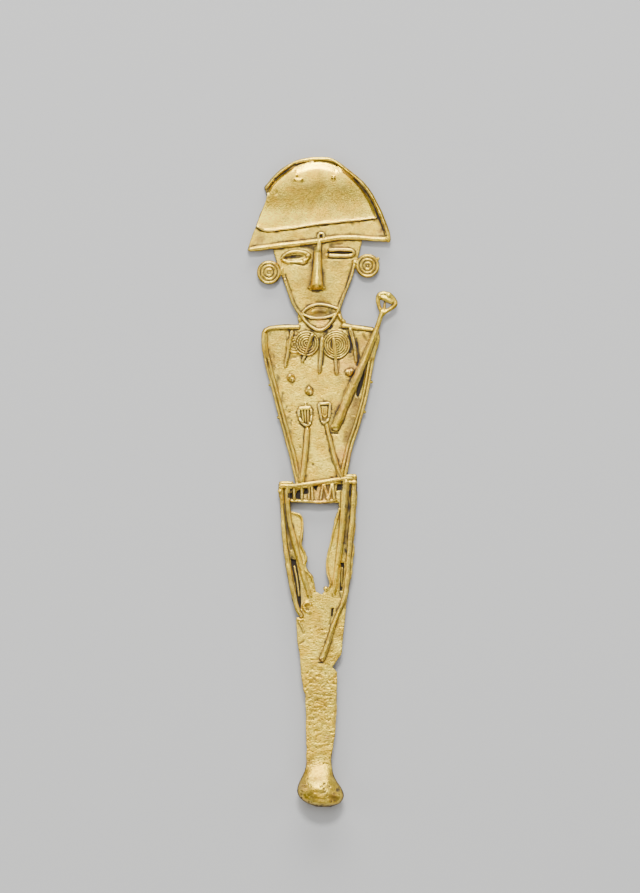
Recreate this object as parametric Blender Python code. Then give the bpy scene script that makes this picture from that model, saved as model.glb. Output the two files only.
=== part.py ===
"""Votive figurine, lost-wax cast in one piece in a gold alloy, lying on its back.

Flat sheets form the hat, face, trunk and legs. Round threads laid on them draw the outlines, eyes,
mouth, arms, staff and pendants, and a rounded lump from the pouring cup ends the figure below.
X runs across the figure, Y from the lump up to the hat, and Z out of its front. The origin is the
middle of the figure's box, on the surface it lies on. Lengths are in millimetres until the last step.
"""

import math

import bmesh
import bpy
from mathutils import Matrix, Vector

# Driving dimensions in millimetres
LENGTH = 130.0
SHEET = 1.1  # thickness of every sheet
THREAD = 0.95  # threads round the hat, face and trunk
LEG_THREAD = 1.05
ARM_THREAD = 1.0
EYE_THREAD = 0.6
MOUTH_THREAD = 0.6
PENDANT_THREAD = 0.7
CAP_RISE = 1.1  # how far the crown of the hat bulges out of the sheet
CAP_STEP = 0.55  # height of the crown's edge above the band
NOSE_RISE = 2.0
DISC_RISE = 0.55  # ridges of the ear and chest discs above the sheet
DISC_GROOVE = 0.22  # depth of the grooves between those ridges
EAR_DISC_RADIUS = 2.38
FINGER_THREAD = 0.42
FRINGE_THREAD = 0.5
GROOVE_DEPTH = 0.7  # grooves between the leg threads, beside the staff and in the skirt
STAFF_THREAD = 1.0  # the staff at its head
STAFF_FOOT_WIDTH = 2.0
FINIAL_THREAD = 0.8  # the open loop at the top of the staff
LUMP_WIDTH = 9.5
LUMP_DEPTH = 6.6
LUMP_BEHIND = 2.0  # how far the lump stands out behind the sheets
LUMP_FLAT = 0.2  # depth worn flat where the lump rests

# The figure is drawn on a grid of 130 steps from the lump's foot to the crown. Points are (x, y) in steps.
GRID_STEPS = 130.0
STEP = LENGTH / GRID_STEPS
MM = 0.001

CROWN_RIM = [
    (-11.1, 123.9), (-9.2, 126.2), (-7.3, 127.8), (-4.9, 129.3), (-2.2, 130.0), (1.6, 130.0), (3.9, 128.6),
    (6.2, 126.9), (8.5, 125.0), (10.7, 122.3), (12.3, 119.3), (13.4, 116.4), (13.9, 114.3),
]
BROKEN_EDGE = [(-12.9, 115.9), (-11.9, 118.6), (-10.7, 121.5), (-10.7, 122.9)]
BRIM_TIP = (-14.6, 111.3)
BRIM = [(-14.1, 111.5), (-5.9, 112.5), (-1.0, 113.1), (5.0, 113.9), (13.4, 113.4)]
BAND = [(-12.6, 115.9), (-10.7, 115.4), (-7.1, 115.6), (-1.0, 116.5), (6.2, 117.3), (11.2, 117.8)]
CAP_RIM = [
    (11.4, 117.8), (9.6, 121.7), (7.2, 124.9), (4.4, 127.3), (1.4, 129.0), (-3.2, 129.0), (-6.6, 127.3),
    (-9.5, 124.8), (-10.5, 123.0), (-10.5, 121.5), (-11.7, 118.6), (-12.5, 116.1),
]
FACE_LEFT = [(-9.7, 112.9), (-8.6, 108.9), (-7.4, 105.6), (-6.5, 103.0), (-5.5, 100.3), (-4.3, 98.4)]
CHIN = [(-3.0, 96.7), (-1.7, 95.6), (-0.2, 95.0), (1.1, 95.4), (2.4, 96.7)]
FACE_RIGHT = [(3.6, 98.4), (4.4, 100.3), (5.4, 103.0), (6.6, 106.1), (7.2, 108.6), (8.7, 114.2)]
NECK = [(-4.4, 99.0), (-4.3, 95.6), (5.4, 95.4), (4.9, 96.9), (4.4, 98.4), (4.2, 99.6)]
SHOULDER_LEFT = [(-4.0, 96.5), (-7.9, 96.5), (-9.9, 96.3), (-11.2, 95.7), (-11.7, 94.7)]
SIDE_LEFT = [(-11.7, 92.3), (-11.2, 89.6), (-10.5, 86.6), (-9.6, 83.3), (-8.1, 77.4), (-6.4, 71.3), (-4.8, 64.6)]
SHOULDER_RIGHT = [(4.4, 96.9), (10.9, 95.9), (11.7, 95.2)]
SIDE_RIGHT = [(11.9, 93.4), (10.8, 89.2), (9.6, 82.4), (8.0, 76.4), (6.5, 72.0), (5.1, 65.6)]
BELT = [(-8.1, 64.3), (-5.2, 64.3), (0.0, 65.0), (4.8, 65.7), (7.4, 66.0)]
SKIRT_HEM = [(4.1, 61.0), (-0.5, 60.7), (-6.2, 61.0)]
LEG_OUTER_LEFT = [(-7.8, 64.2), (-7.4, 58.2), (-7.1, 53.7), (-6.4, 48.4), (-5.3, 42.7), (-4.4, 39.3), (-3.5, 38.1)]
LEG_INNER_LEFT = [(-6.5, 64.3), (-6.4, 58.6), (-5.3, 53.7), (-3.9, 48.6), (-2.7, 44.1), (-1.9, 41.8)]
LEG_INNER_RIGHT = [(5.2, 65.6), (4.7, 58.2), (4.1, 52.6), (3.5, 48.4), (3.0, 44.1), (2.6, 42.3)]
LEG_OUTER_RIGHT = [(6.8, 65.8), (6.4, 58.2), (6.0, 53.7), (5.6, 48.4), (5.1, 43.0), (4.4, 40.6)]
TORN_LEFT = [
    (-5.7, 59.2), (-3.6, 58.2), (-3.2, 55.4), (-3.6, 52.6), (-2.6, 50.0), (-2.9, 48.1), (-1.3, 46.1), (-0.8, 43.1),
]
TORN_RIGHT = [(1.8, 43.9), (2.0, 45.0), (1.2, 47.0), (1.3, 49.8), (2.0, 52.6), (2.9, 57.4), (3.7, 59.9)]
FLANGE_LEFT = [
    (-8.3, 64.6), (-7.9, 58.2), (-7.6, 53.7), (-6.9, 48.4), (-6.1, 44.2), (-5.7, 42.4), (-4.9, 39.3), (-3.7, 38.3),
]
FLANGE_RIGHT = [
    (5.4, 41.3), (5.8, 43.3), (6.3, 46.4), (6.9, 51.4), (6.7, 52.6), (7.1, 55.9), (7.4, 62.4), (7.3, 65.8),
]
SHANK_LEFT = [(-4.8, 37.8), (-4.5, 33.0), (-4.1, 31.0), (-3.6, 25.1), (-3.2, 23.1), (-2.9, 22.6), (-2.7, 10.0)]
SHANK_RIGHT = [(2.2, 10.0), (3.0, 14.6), (3.4, 20.2), (3.4, 27.0), (2.4, 28.1), (4.2, 30.6), (4.8, 35.7)]
LEFT_GROOVE = [(-5.3, 50.2), (-6.1, 49.8), (-5.2, 43.8), (-4.4, 40.4), (-3.8, 40.2), (-3.9, 42.6), (-4.6, 46.6)]
RIGHT_GROOVE = [(4.2, 49.0), (5.0, 49.0), (4.7, 46.0), (4.4, 43.2), (3.7, 43.2), (3.9, 46.0)]
SIDE_GROOVE = [(8.6, 87.2), (9.1, 85.6), (8.3, 82.2), (6.9, 82.2), (7.6, 84.6)]
# Each pocket's left, right, foot and head
SKIRT_POCKETS = [(-5.9, -5.4, 61.8, 63.7), (-4.8, -3.9, 61.6, 63.7), (-3.3, -2.5, 61.6, 63.9), (3.0, 4.2, 62.0, 64.9)]

STICK = [(4.8, 41.4), (2.9, 37.1), (1.8, 33.4), (0.3, 29.3)]
CURL = [(-1.7, 40.4), (-2.4, 41.0), (-3.3, 40.4), (-2.9, 39.3), (-1.9, 39.0)]
FOLD = [(-4.4, 37.2), (-3.2, 35.3), (-3.7, 33.2)]

LEFT_EYE = [(-7.7, 109.5), (-6.2, 110.7), (-4.6, 111.0), (-2.8, 110.6), (-2.2, 109.7), (-3.6, 109.1), (-6.4, 108.9)]
RIGHT_EYE = [(1.7, 111.1), (4.2, 111.3), (6.4, 111.1), (6.6, 110.5), (6.2, 110.0), (4.0, 110.0), (1.7, 110.1)]
MOUTH = [
    (-3.5, 98.7), (-2.5, 99.9), (-0.6, 100.6), (1.5, 100.3), (3.6, 99.2), (2.1, 98.2), (-0.1, 97.7), (-2.3, 97.9),
]
BROW_STEM = [(-0.3, 111.4), (0.1, 113.3), (0.1, 114.5)]
NOSE_TOP_Y, NOSE_MIDDLE_Y, NOSE_TIP_Y, NOSE_FOOT_Y = 111.8, 107.6, 104.6, 103.3
NOSE_TOP_X, NOSE_MIDDLE_X, NOSE_FOOT_X = (-1.2, 0.3), (-1.6, 0.5), (-2.1, 0.8)
NOSTRILS = [(-1.85, 103.9), (0.55, 103.9)]
LEFT_EAR, RIGHT_EAR = (-10.2, 106.9), (9.5, 108.2)

LEFT_CHEST_DISC, LEFT_CHEST_RADIUS = (-2.7, 92.7), 2.55
SIDE_LOBE, SIDE_LOBE_RADIUS = (-5.1, 92.4), 1.75
RIGHT_CHEST_DISC, RIGHT_CHEST_RADIUS = (3.3, 92.4), 2.85
PENDANTS = [
    [(-5.6, 95.3), (-6.3, 91.5), (-6.9, 87.8)],
    [(-1.5, 94.6), (-2.6, 91.6), (-3.6, 88.9)],
    [(0.5, 94.0), (0.2, 90.5), (-0.1, 86.7)],
    [(2.7, 93.9), (3.1, 90.0), (3.4, 86.4)],
    [(5.9, 95.9), (6.6, 92.2), (7.3, 88.8)],
]
CHEST_PELLETS = [(-5.6, 85.9), (5.9, 87.0), (-2.2, 83.2)]
CAP_NUB = [(-4.5, 125.4), (-3.2, 125.3)]
CAP_PELLET = (2.7, 125.7)
PELLET_RADIUS, SMALL_PELLET_RADIUS = 0.8, 0.4

LEFT_ARM = [(-2.5, 76.0), (-2.9, 70.5), (-3.7, 64.8)]
RIGHT_ARM = [(1.2, 76.9), (2.4, 71.5), (4.2, 65.6)]
LEFT_PALM = [(-4.6, 79.6), (-4.5, 77.6), (-3.6, 76.3), (-2.4, 75.9), (-1.6, 76.8), (-1.4, 78.3), (-1.7, 79.9)]
RIGHT_PALM = [(-0.3, 80.6), (2.0, 80.8), (1.8, 77.7), (0.9, 76.6), (0.3, 77.2)]
FINGER_X = [-3.8, -3.05, -2.3]
FINGER_Y = (79.5, 76.8)
HAND_PEG = [(-2.9, 79.6), (-2.9, 80.8)]
STAFF = [(12.8, 99.4), (12.1, 98.0), (10.7, 94.1), (8.4, 88.3), (5.9, 82.8), (3.8, 77.7), (2.8, 75.4)]
FINIAL = [(12.4, 98.6), (11.6, 101.0), (11.9, 102.5), (13.7, 102.5), (15.1, 100.6), (13.0, 98.9)]
FINIAL_BAR = [(12.0, 102.1), (13.4, 101.6), (14.7, 100.8)]
FINIAL_PEG = [(12.6, 98.8), (13.0, 100.7)]
FINIAL_BALL = (13.8, 102.4)
# Each strand of the fringe at its head and at its foot
FRINGE_X = [(-5.2, -5.1), (-3.7, -3.6), (-2.3, -2.2), (-1.6, -1.5), (0.7, 0.1), (0.8, 1.6), (2.3, 1.7), (2.5, 2.8)]
FRINGE_Y = (64.7, 61.3)

# The lump at heights in steps: its left and right reach as shares of its width, and its share of its depth
LUMP_SHAPE = [
    (14.5, -0.275, 0.300, 0.15), (9.6, -0.280, 0.240, 0.22), (8.0, -0.300, 0.255, 0.42), (6.8, -0.355, 0.280, 0.62),
    (5.5, -0.425, 0.340, 0.86), (4.4, -0.470, 0.425, 0.97), (3.4, -0.490, 0.480, 1.00), (2.5, -0.460, 0.510, 0.96),
    (1.6, -0.395, 0.480, 0.84), (0.8, -0.240, 0.400, 0.62), (0.2, -0.080, 0.220, 0.34),
]
LUMP_REST_Y = 3.7  # the height at which the lump touches the table
NECK_Y = 97.5  # above this line the figure lies flat, and below it the body tilts up

ROUND_SIDES = 8
FINE_SIDES = 6
DISC_SEGMENTS = 22
LUMP_SEGMENTS = 22
SINK = 0.18  # share of a thread's width by which its axis stands above the sheet's front
MEMBERS = "members"
CUTTERS = "cutters"


def clear_scene():
    """Removes every object and mesh that the file opened with."""
    for obj in list(bpy.data.objects):
        bpy.data.objects.remove(obj)
    for mesh in list(bpy.data.meshes):
        bpy.data.meshes.remove(mesh)


def body_lift(y):
    """Height in mm by which the tilted body stands above its drawing at y, given in mm from the lump's foot."""
    span = (NECK_Y - LUMP_REST_Y) * STEP
    return LUMP_BEHIND * max(0.0, NECK_Y * STEP - y) / span


def smooth_route(points, closed=False, spans=2):
    """Points in mm along a curve through the given grid points, with that many steps between two of them."""
    flat = [Vector((x * STEP, y * STEP)) for x, y in points]
    count = len(flat)
    last = count if closed else count - 1
    route = []
    for i in range(last):
        near = [(i + k) % count if closed else min(max(i + k, 0), count - 1) for k in (-1, 0, 1, 2)]
        a, b, c, d = (flat[k] for k in near)
        for j in range(spans):
            t = j / spans
            square, cube = 2 * a - 5 * b + 4 * c - d, 3 * b - a - 3 * c + d
            route.append(0.5 * (2 * b + (c - a) * t + square * t**2 + cube * t**3))
    if not closed:
        route.append(flat[-1])
    return route


def inset(points, distance):
    """The open route moved sideways by a distance in mm, to the right of its direction, as grid points."""
    moved = []
    for i, point in enumerate(points):
        before, after = points[max(i - 1, 0)], points[min(i + 1, len(points) - 1)]
        along = Vector((after[0] - before[0], after[1] - before[1])).normalized()
        moved.append((point[0] + along.y * distance / STEP, point[1] - along.x * distance / STEP))
    return moved


def add_object(name, mesh_builder, group):
    """Turns a bmesh into a hidden wire-frame object in the named collection."""
    bmesh.ops.recalc_face_normals(mesh_builder, faces=mesh_builder.faces)
    mesh = bpy.data.meshes.new(name)
    mesh_builder.to_mesh(mesh)
    mesh_builder.free()
    obj = bpy.data.objects.new(name, mesh)
    obj.hide_render = True
    obj.display_type = "WIRE"
    bpy.data.collections[group].objects.link(obj)
    return obj


def loft(name, rings, closed=False, group=MEMBERS):
    """A closed solid through rings of equally many points, capped at its ends unless it runs round."""
    mesh_builder = bmesh.new()
    loops = [[mesh_builder.verts.new(point) for point in ring] for ring in rings]
    size = len(loops[0])
    for i in range(len(loops) if closed else len(loops) - 1):
        lower, upper = loops[i], loops[(i + 1) % len(loops)]
        for j in range(size):
            mesh_builder.faces.new((lower[j], lower[(j + 1) % size], upper[(j + 1) % size], upper[j]))
    if not closed:
        mesh_builder.faces.new(loops[0])
        mesh_builder.faces.new(loops[-1])
    return add_object(name, mesh_builder, group)


def sheet(name, outline, front=SHEET, back=0.0, group=MEMBERS):
    """A flat plate with the outline, in grid points, between two heights in mm."""
    rings = [[(x * STEP, y * STEP, z) for x, y in outline] for z in (back, front)]
    return loft(name, rings, group=group)


def thread(name, points, width, rise=None, closed=False, sides=ROUND_SIDES, spans=2, depth=None):
    """A round or oval thread along a smooth route. Width and rise, the height of its axis, may each be a pair
    that gives the start and the end, and depth is its thickness if that isn't its width."""
    route = smooth_route(points, closed, spans)
    widths = width if isinstance(width, tuple) else (width, width)
    rises = rise if isinstance(rise, tuple) else (rise, rise)
    if rise is None:
        rises = tuple(SHEET + SINK * w for w in widths)
    rings = []
    for i, point in enumerate(route):
        t = i / (len(route) - 1)
        before = route[(i - 1) % len(route)] if closed else route[max(i - 1, 0)]
        after = route[(i + 1) % len(route)] if closed else route[min(i + 1, len(route) - 1)]
        along = (after - before).normalized()
        half_width = (widths[0] + (widths[1] - widths[0]) * t) / 2
        half_depth = half_width if depth is None else depth / 2
        height = rises[0] + (rises[1] - rises[0]) * t
        ring = []
        for j in range(sides):
            angle = math.tau * (j + 0.5) / sides
            across, up = math.cos(angle) * half_width, math.sin(angle) * half_depth
            ring.append((point.x + along.y * across, point.y - along.x * across, height + up))
        rings.append(ring)
    return loft(name, rings, closed)


def ringed_disc(name, centre, radius, ridges):
    """A round disc on the sheet with concentric ridges: a stepped profile spun about its own axis."""
    top, groove = SHEET + DISC_RISE, SHEET + DISC_RISE - DISC_GROOVE
    pitch = radius / (ridges + 0.5)
    profile = [(radius * 0.92, SHEET * 0.12), (radius, SHEET * 0.55), (radius, top - 0.25 * DISC_RISE)]
    for k in range(ridges):
        outer = radius - pitch * k
        profile += [(outer - 0.3 * pitch, top), (outer - 0.6 * pitch, top), (outer - 0.85 * pitch, groove)]
    profile += [(0.35 * pitch, top)]
    x, y = centre[0] * STEP, centre[1] * STEP
    rings = []
    for r, z in profile:
        turn = [math.tau * j / DISC_SEGMENTS for j in range(DISC_SEGMENTS)]
        rings.append([(x + r * math.cos(a), y + r * math.sin(a), z) for a in turn])
    return loft(name, rings)


def pellet(name, centre, radius, foot):
    """A small ball pressed into the surface at height foot."""
    mesh_builder = bmesh.new()
    bmesh.ops.create_uvsphere(mesh_builder, u_segments=8, v_segments=6, radius=radius)
    place = Vector((centre[0] * STEP, centre[1] * STEP, foot))
    bmesh.ops.translate(mesh_builder, verts=mesh_builder.verts, vec=place)
    return add_object(name, mesh_builder, MEMBERS)


def crown_cap():
    """The bulging crown: its outline drawn in towards the middle while it rises, highest above the band."""
    outline = [(x, y) for x, y in BAND[1:-1]] + CAP_RIM
    middle = Vector((sum(x for x, _ in outline), sum(y for _, y in outline))) / len(outline)
    shoulder = CAP_STEP + 0.3 * CAP_RISE
    levels = [(1.0, -SHEET / 2), (1.0, CAP_STEP), (0.93, shoulder), (0.78, CAP_RISE * 0.92), (0.4, CAP_RISE)]
    rings = []
    for share, rise in levels:
        drawn_in = [(middle + (Vector(point) - middle) * share) * STEP for point in outline]
        rings.append([(point.x, point.y, SHEET + rise) for point in drawn_in])
    loft("crown_cap", rings)


def nose():
    """A ridge that widens and rises from between the eyes to its tip, then drops steeply."""
    stations = [
        (NOSE_TOP_Y, NOSE_TOP_X, 0.45), (NOSE_MIDDLE_Y, NOSE_MIDDLE_X, 0.75), (NOSE_TIP_Y, NOSE_FOOT_X, 1.0),
        (NOSE_FOOT_Y, NOSE_FOOT_X, 0.35),
    ]
    rings = []
    for y, (left, right), share in stations:
        top = SHEET + NOSE_RISE * share
        inner = (right - left) * 0.26
        profile = [
            (left, SHEET * 0.5), (left, SHEET + 0.12), (left + inner, top - 0.1), ((left + right) / 2, top),
            (right - inner, top - 0.1), (right, SHEET + 0.12), (right, SHEET * 0.5),
        ]
        rings.append([(x * STEP, y * STEP, z) for x, z in profile])
    loft("nose", rings)


def pouring_lump():
    """The rounded lump: oval sections along Y, worn flat behind where it rests on the table."""
    middle = LUMP_DEPTH / 2 - LUMP_BEHIND - LUMP_FLAT
    rings = []
    for y, left, right, deep in LUMP_SHAPE:
        centre = SHEET / 2 + (middle - SHEET / 2) * min(1.0, max(0.0, (deep - 0.15) / 0.6))
        ring = []
        for j in range(LUMP_SEGMENTS):
            angle = math.tau * (j + 0.5) / LUMP_SEGMENTS
            x = ((left + right) + (right - left) * math.cos(angle)) * LUMP_WIDTH / 2
            z = centre + math.sin(angle) * deep * LUMP_DEPTH / 2
            ring.append((x, y * STEP, max(z, -body_lift(y * STEP))))
        rings.append(ring)
    loft("pouring_lump", rings)


def hat():
    """Brim, band, crown and rim of the hat."""
    lower_edge = [(x, y - 0.3) for x, y in reversed(BRIM)]
    sheet("hat_sheet", lower_edge + [BRIM_TIP] + BROKEN_EDGE + CROWN_RIM)
    crown_cap()
    thread("brim_thread", BRIM, THREAD * 1.15)
    thread("band_thread", BAND, EYE_THREAD, rise=SHEET + CAP_STEP * 0.8, sides=FINE_SIDES, spans=1)
    rim = inset(CROWN_RIM + [(14.0, 112.9)], THREAD * 0.42)
    thread("rim_thread", rim, THREAD)
    thread("cap_nub", CAP_NUB, EYE_THREAD, rise=SHEET + CAP_RISE * 0.9, sides=FINE_SIDES, spans=1)
    pellet("cap_pellet", CAP_PELLET, SMALL_PELLET_RADIUS, SHEET + CAP_RISE * 0.9)


def face():
    """The face sheet in its outline thread, with its nose, loop eyes, loop mouth and ear discs."""
    sheet("face_sheet", FACE_LEFT + CHIN + FACE_RIGHT, front=SHEET - 0.02)
    sheet("neck_sheet", NECK, front=SHEET - 0.04)
    thread("face_thread", inset(FACE_LEFT[2:] + CHIN + FACE_RIGHT[:-1], -THREAD * 0.35), THREAD * 0.8, rise=SHEET + 0.3)
    nose()
    for i, centre in enumerate(NOSTRILS):
        pellet(f"nostril_{i}", centre, SMALL_PELLET_RADIUS * 1.2, SHEET + 0.1)
    thread("brow_stem", BROW_STEM, THREAD * 0.9, rise=SHEET + 0.5)
    thread("left_eye", LEFT_EYE, EYE_THREAD, closed=True, sides=FINE_SIDES)
    thread("right_eye", RIGHT_EYE, EYE_THREAD, closed=True, sides=FINE_SIDES)
    thread("mouth", MOUTH, MOUTH_THREAD, rise=SHEET + 0.3, closed=True, sides=FINE_SIDES)
    for side, centre, inner_x in (("left", LEFT_EAR, -7.4), ("right", RIGHT_EAR, 6.9)):
        ringed_disc(f"{side}_ear_disc", centre, EAR_DISC_RADIUS * STEP, 3)
        bridge = [(inner_x, centre[1] - 0.6), (centre[0], centre[1]), (inner_x, centre[1] + 0.9)]
        sheet(f"{side}_ear_bridge", bridge, front=SHEET + 0.3, back=0.1)


def necklace():
    """Two ringed chest discs, a half-hidden lobe beside them, and five pendants hanging over them."""
    ringed_disc("side_lobe", SIDE_LOBE, SIDE_LOBE_RADIUS * STEP, 1)
    ringed_disc("left_chest_disc", LEFT_CHEST_DISC, LEFT_CHEST_RADIUS * STEP, 3)
    ringed_disc("right_chest_disc", RIGHT_CHEST_DISC, RIGHT_CHEST_RADIUS * STEP, 3)
    over_disc = SHEET + DISC_RISE
    on_sheet = SHEET + SINK * PENDANT_THREAD
    for i, points in enumerate(PENDANTS):
        widths = (PENDANT_THREAD, PENDANT_THREAD * 0.6)
        thread(f"pendant_{i}", points, widths, rise=(over_disc, on_sheet), sides=FINE_SIDES)


def arms():
    """Thread arms that rise from the belt to two flat hands, with three pellets on the chest above."""
    thread("left_arm", LEFT_ARM, ARM_THREAD)
    thread("right_arm", RIGHT_ARM, (ARM_THREAD * 0.8, ARM_THREAD))
    sheet("left_palm", LEFT_PALM, front=SHEET + 0.25, back=0.2)
    thread("left_palm_edge", LEFT_PALM, EYE_THREAD, rise=SHEET + 0.3, closed=True, sides=FINE_SIDES, spans=1)
    for i, x in enumerate(FINGER_X):
        finger = [(x, FINGER_Y[0]), (x * 0.8 - 0.5, FINGER_Y[1])]
        thread(f"finger_{i}", finger, FINGER_THREAD, rise=SHEET + 0.32, sides=FINE_SIDES, spans=1)
    thread("hand_peg", HAND_PEG, EYE_THREAD, rise=SHEET + 0.2, sides=FINE_SIDES, spans=1)
    sheet("right_palm", RIGHT_PALM, front=SHEET + 0.22, back=0.2)
    thread("right_palm_edge", RIGHT_PALM, EYE_THREAD, rise=SHEET + 0.3, closed=True, sides=FINE_SIDES, spans=1)
    for i, centre in enumerate(CHEST_PELLETS):
        pellet(f"chest_pellet_{i}", centre, PELLET_RADIUS, SHEET + 0.15)


def staff():
    """The staff across the shoulder: a thread that widens to a flat foot, with an open looped head."""
    high, low = SHEET + THREAD * 0.75, SHEET + 0.35
    thread("staff", STAFF, (STAFF_THREAD, STAFF_FOOT_WIDTH), rise=(high, low), depth=1.1)
    thread("finial_loop", FINIAL, FINIAL_THREAD, rise=high, closed=True, sides=FINE_SIDES)
    thread("finial_bar", FINIAL_BAR, FINIAL_THREAD * 1.3, rise=high, sides=FINE_SIDES, spans=1)
    thread("finial_peg", FINIAL_PEG, FINIAL_THREAD * 0.7, rise=high, sides=FINE_SIDES, spans=1)
    pellet("finial_ball", FINIAL_BALL, FINIAL_THREAD * 0.72, high)


def groove(name, outline):
    """A pocket in the front of the sheets that leaves them whole behind it."""
    sheet(name, outline, front=SHEET * 3, back=SHEET - GROOVE_DEPTH, group=CUTTERS)


def trunk():
    """The trunk sheet, threads along its shoulders and sides, and the groove beside the staff."""
    sheet("trunk_sheet", SHOULDER_LEFT + SIDE_LEFT + [(5.1, 65.2)] + SIDE_RIGHT[-2::-1] + SHOULDER_RIGHT[::-1])
    left = SHOULDER_LEFT + SIDE_LEFT
    right = SHOULDER_RIGHT + SIDE_RIGHT
    thread("left_side_thread", inset(left, -THREAD * 0.62), THREAD)
    thread("right_side_thread", inset(right, THREAD * 0.62), THREAD)
    groove("side_groove", SIDE_GROOVE)


def skirt():
    """The belt thread over a short strip with a zigzag fringe of threads and pockets between them."""
    top = [(-6.4, 64.0)] + [(x, y - 0.2) for x, y in BELT[1:-1]]
    sheet("skirt_sheet", top + SKIRT_HEM, front=SHEET - 0.03)
    thread("belt", BELT, LEG_THREAD, rise=SHEET + 0.3)
    for i, (top_x, foot_x) in enumerate(FRINGE_X):
        strand = [(top_x, FRINGE_Y[0]), (foot_x, FRINGE_Y[1])]
        thread(f"fringe_{i}", strand, FRINGE_THREAD, sides=FINE_SIDES, spans=1)
    for i, (left, right, foot, head) in enumerate(SKIRT_POCKETS):
        groove(f"skirt_pocket_{i}", [(left, foot), (right, foot), (right, head), (left, head)])


def legs():
    """Two leg sheets torn along the window between them, each with two threads and a groove between these."""
    sheet("left_leg_sheet", FLANGE_LEFT + [(-0.6, 41.0)] + TORN_LEFT[::-1] + [(-5.7, 62.5), (-5.2, 64.6)])
    sheet("right_leg_sheet", FLANGE_RIGHT + [(4.0, 65.6), (3.8, 62.5)] + TORN_RIGHT[::-1] + [(1.4, 41.0)])
    thread("left_outer_thread", LEG_OUTER_LEFT, LEG_THREAD * 0.85)
    thread("left_inner_thread", LEG_INNER_LEFT, LEG_THREAD)
    thread("right_inner_thread", LEG_INNER_RIGHT, (LEG_THREAD * 1.4, LEG_THREAD), depth=LEG_THREAD)
    thread("right_outer_thread", LEG_OUTER_RIGHT, LEG_THREAD * 0.85)
    groove("left_leg_groove", LEFT_GROOVE)
    groove("right_leg_groove", RIGHT_GROOVE)


def shank():
    """The notched sheet below the legs, with a loose stick, a curl and a fold of thread on it."""
    top = [(5.6, 43.0), (1.8, 43.9), (1.0, 43.3), (0.3, 42.6), (-0.8, 43.1), (-4.9, 39.3), (-3.7, 38.3)]
    base = [(-2.55, 4.0), (2.45, 4.0)]
    sheet("shank_sheet", SHANK_LEFT + base + SHANK_RIGHT + top, front=SHEET + 0.02)
    thread("stick", STICK, (0.75, 1.15), depth=0.8)
    thread("curl", CURL, EYE_THREAD, sides=FINE_SIDES)
    thread("fold", FOLD, EYE_THREAD, sides=FINE_SIDES)


def cast():
    """Joins all members into one solid, as the metal filled one mould, and cuts the grooves into it."""
    core = bpy.data.objects["trunk_sheet"]
    bpy.data.collections[MEMBERS].objects.unlink(core)
    bpy.context.scene.collection.objects.link(core)
    for label, operation, group in (("fuse", "UNION", MEMBERS), ("groove", "DIFFERENCE", CUTTERS)):
        modifier = core.modifiers.new(label, "BOOLEAN")
        modifier.operation = operation
        modifier.operand_type = "COLLECTION"
        modifier.collection = bpy.data.collections[group]
        modifier.solver = "EXACT"
    bpy.context.view_layer.update()
    depsgraph = bpy.context.evaluated_depsgraph_get()
    mesh = bpy.data.meshes.new_from_object(core.evaluated_get(depsgraph))
    mesh.name = "figurine"
    return mesh


def finish(mesh):
    """Cleans the joined mesh, tilts the body, centres the figure on its origin and turns it into metres."""
    builder = bmesh.new()
    builder.from_mesh(mesh)
    bmesh.ops.remove_doubles(builder, verts=builder.verts, dist=0.004)
    bmesh.ops.dissolve_limit(builder, angle_limit=math.radians(0.4), verts=builder.verts, edges=builder.edges)
    crease = Vector((0.0, NECK_Y * STEP, 0.0))
    everything = builder.verts[:] + builder.edges[:] + builder.faces[:]
    bmesh.ops.bisect_plane(builder, geom=everything, plane_co=crease, plane_no=(0.0, 1.0, 0.0))
    bmesh.ops.triangulate(builder, faces=builder.faces)
    for vert in builder.verts:
        vert.co.z += body_lift(vert.co.y)
    low = [min(v.co[axis] for v in builder.verts) for axis in range(3)]
    high = [max(v.co[axis] for v in builder.verts) for axis in range(3)]
    middle = Vector(((low[0] + high[0]) / 2, (low[1] + high[1]) / 2, 0.0))
    bmesh.ops.translate(builder, verts=builder.verts, vec=-middle)
    builder.to_mesh(mesh)
    builder.free()
    mesh.transform(Matrix.Scale(MM, 4))


def gold():
    """Burnished gold alloy."""
    material = bpy.data.materials.new("gold_alloy")
    material.use_nodes = True
    shader = material.node_tree.nodes["Principled BSDF"]
    shader.inputs["Base Color"].default_value = (0.68, 0.46, 0.17, 1.0)
    shader.inputs["Metallic"].default_value = 1.0
    shader.inputs["Roughness"].default_value = 0.35
    return material


def main():
    clear_scene()
    for group in (MEMBERS, CUTTERS):
        collection = bpy.data.collections.new(group)
        bpy.context.scene.collection.children.link(collection)
    trunk()
    hat()
    face()
    necklace()
    arms()
    staff()
    skirt()
    legs()
    shank()
    pouring_lump()
    mesh = cast()
    for obj in list(bpy.data.objects):
        bpy.data.objects.remove(obj)
    finish(mesh)
    mesh.materials.append(gold())
    figurine = bpy.data.objects.new("figurine", mesh)
    bpy.context.scene.collection.objects.link(figurine)
    mesh.shade_smooth()
    mesh.set_sharp_from_angle(angle=math.radians(35.0))


main()
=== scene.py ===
"""Looks of a votive figurine that was lost-wax cast in one piece in a gold alloy.

The figure is built again as its maker built the wax: sheets and threads in a drawing in millimetres, fused
into one skin, worked with rings, pits and grain, and then cast, which here means moved into the frame.
The drawing has x across the figure, y from the foot lump up to the hat, and z out of its front.
"""

import logging
import math
from dataclasses import dataclass, field
from enum import Enum
from typing import Protocol, TypeVar

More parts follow.
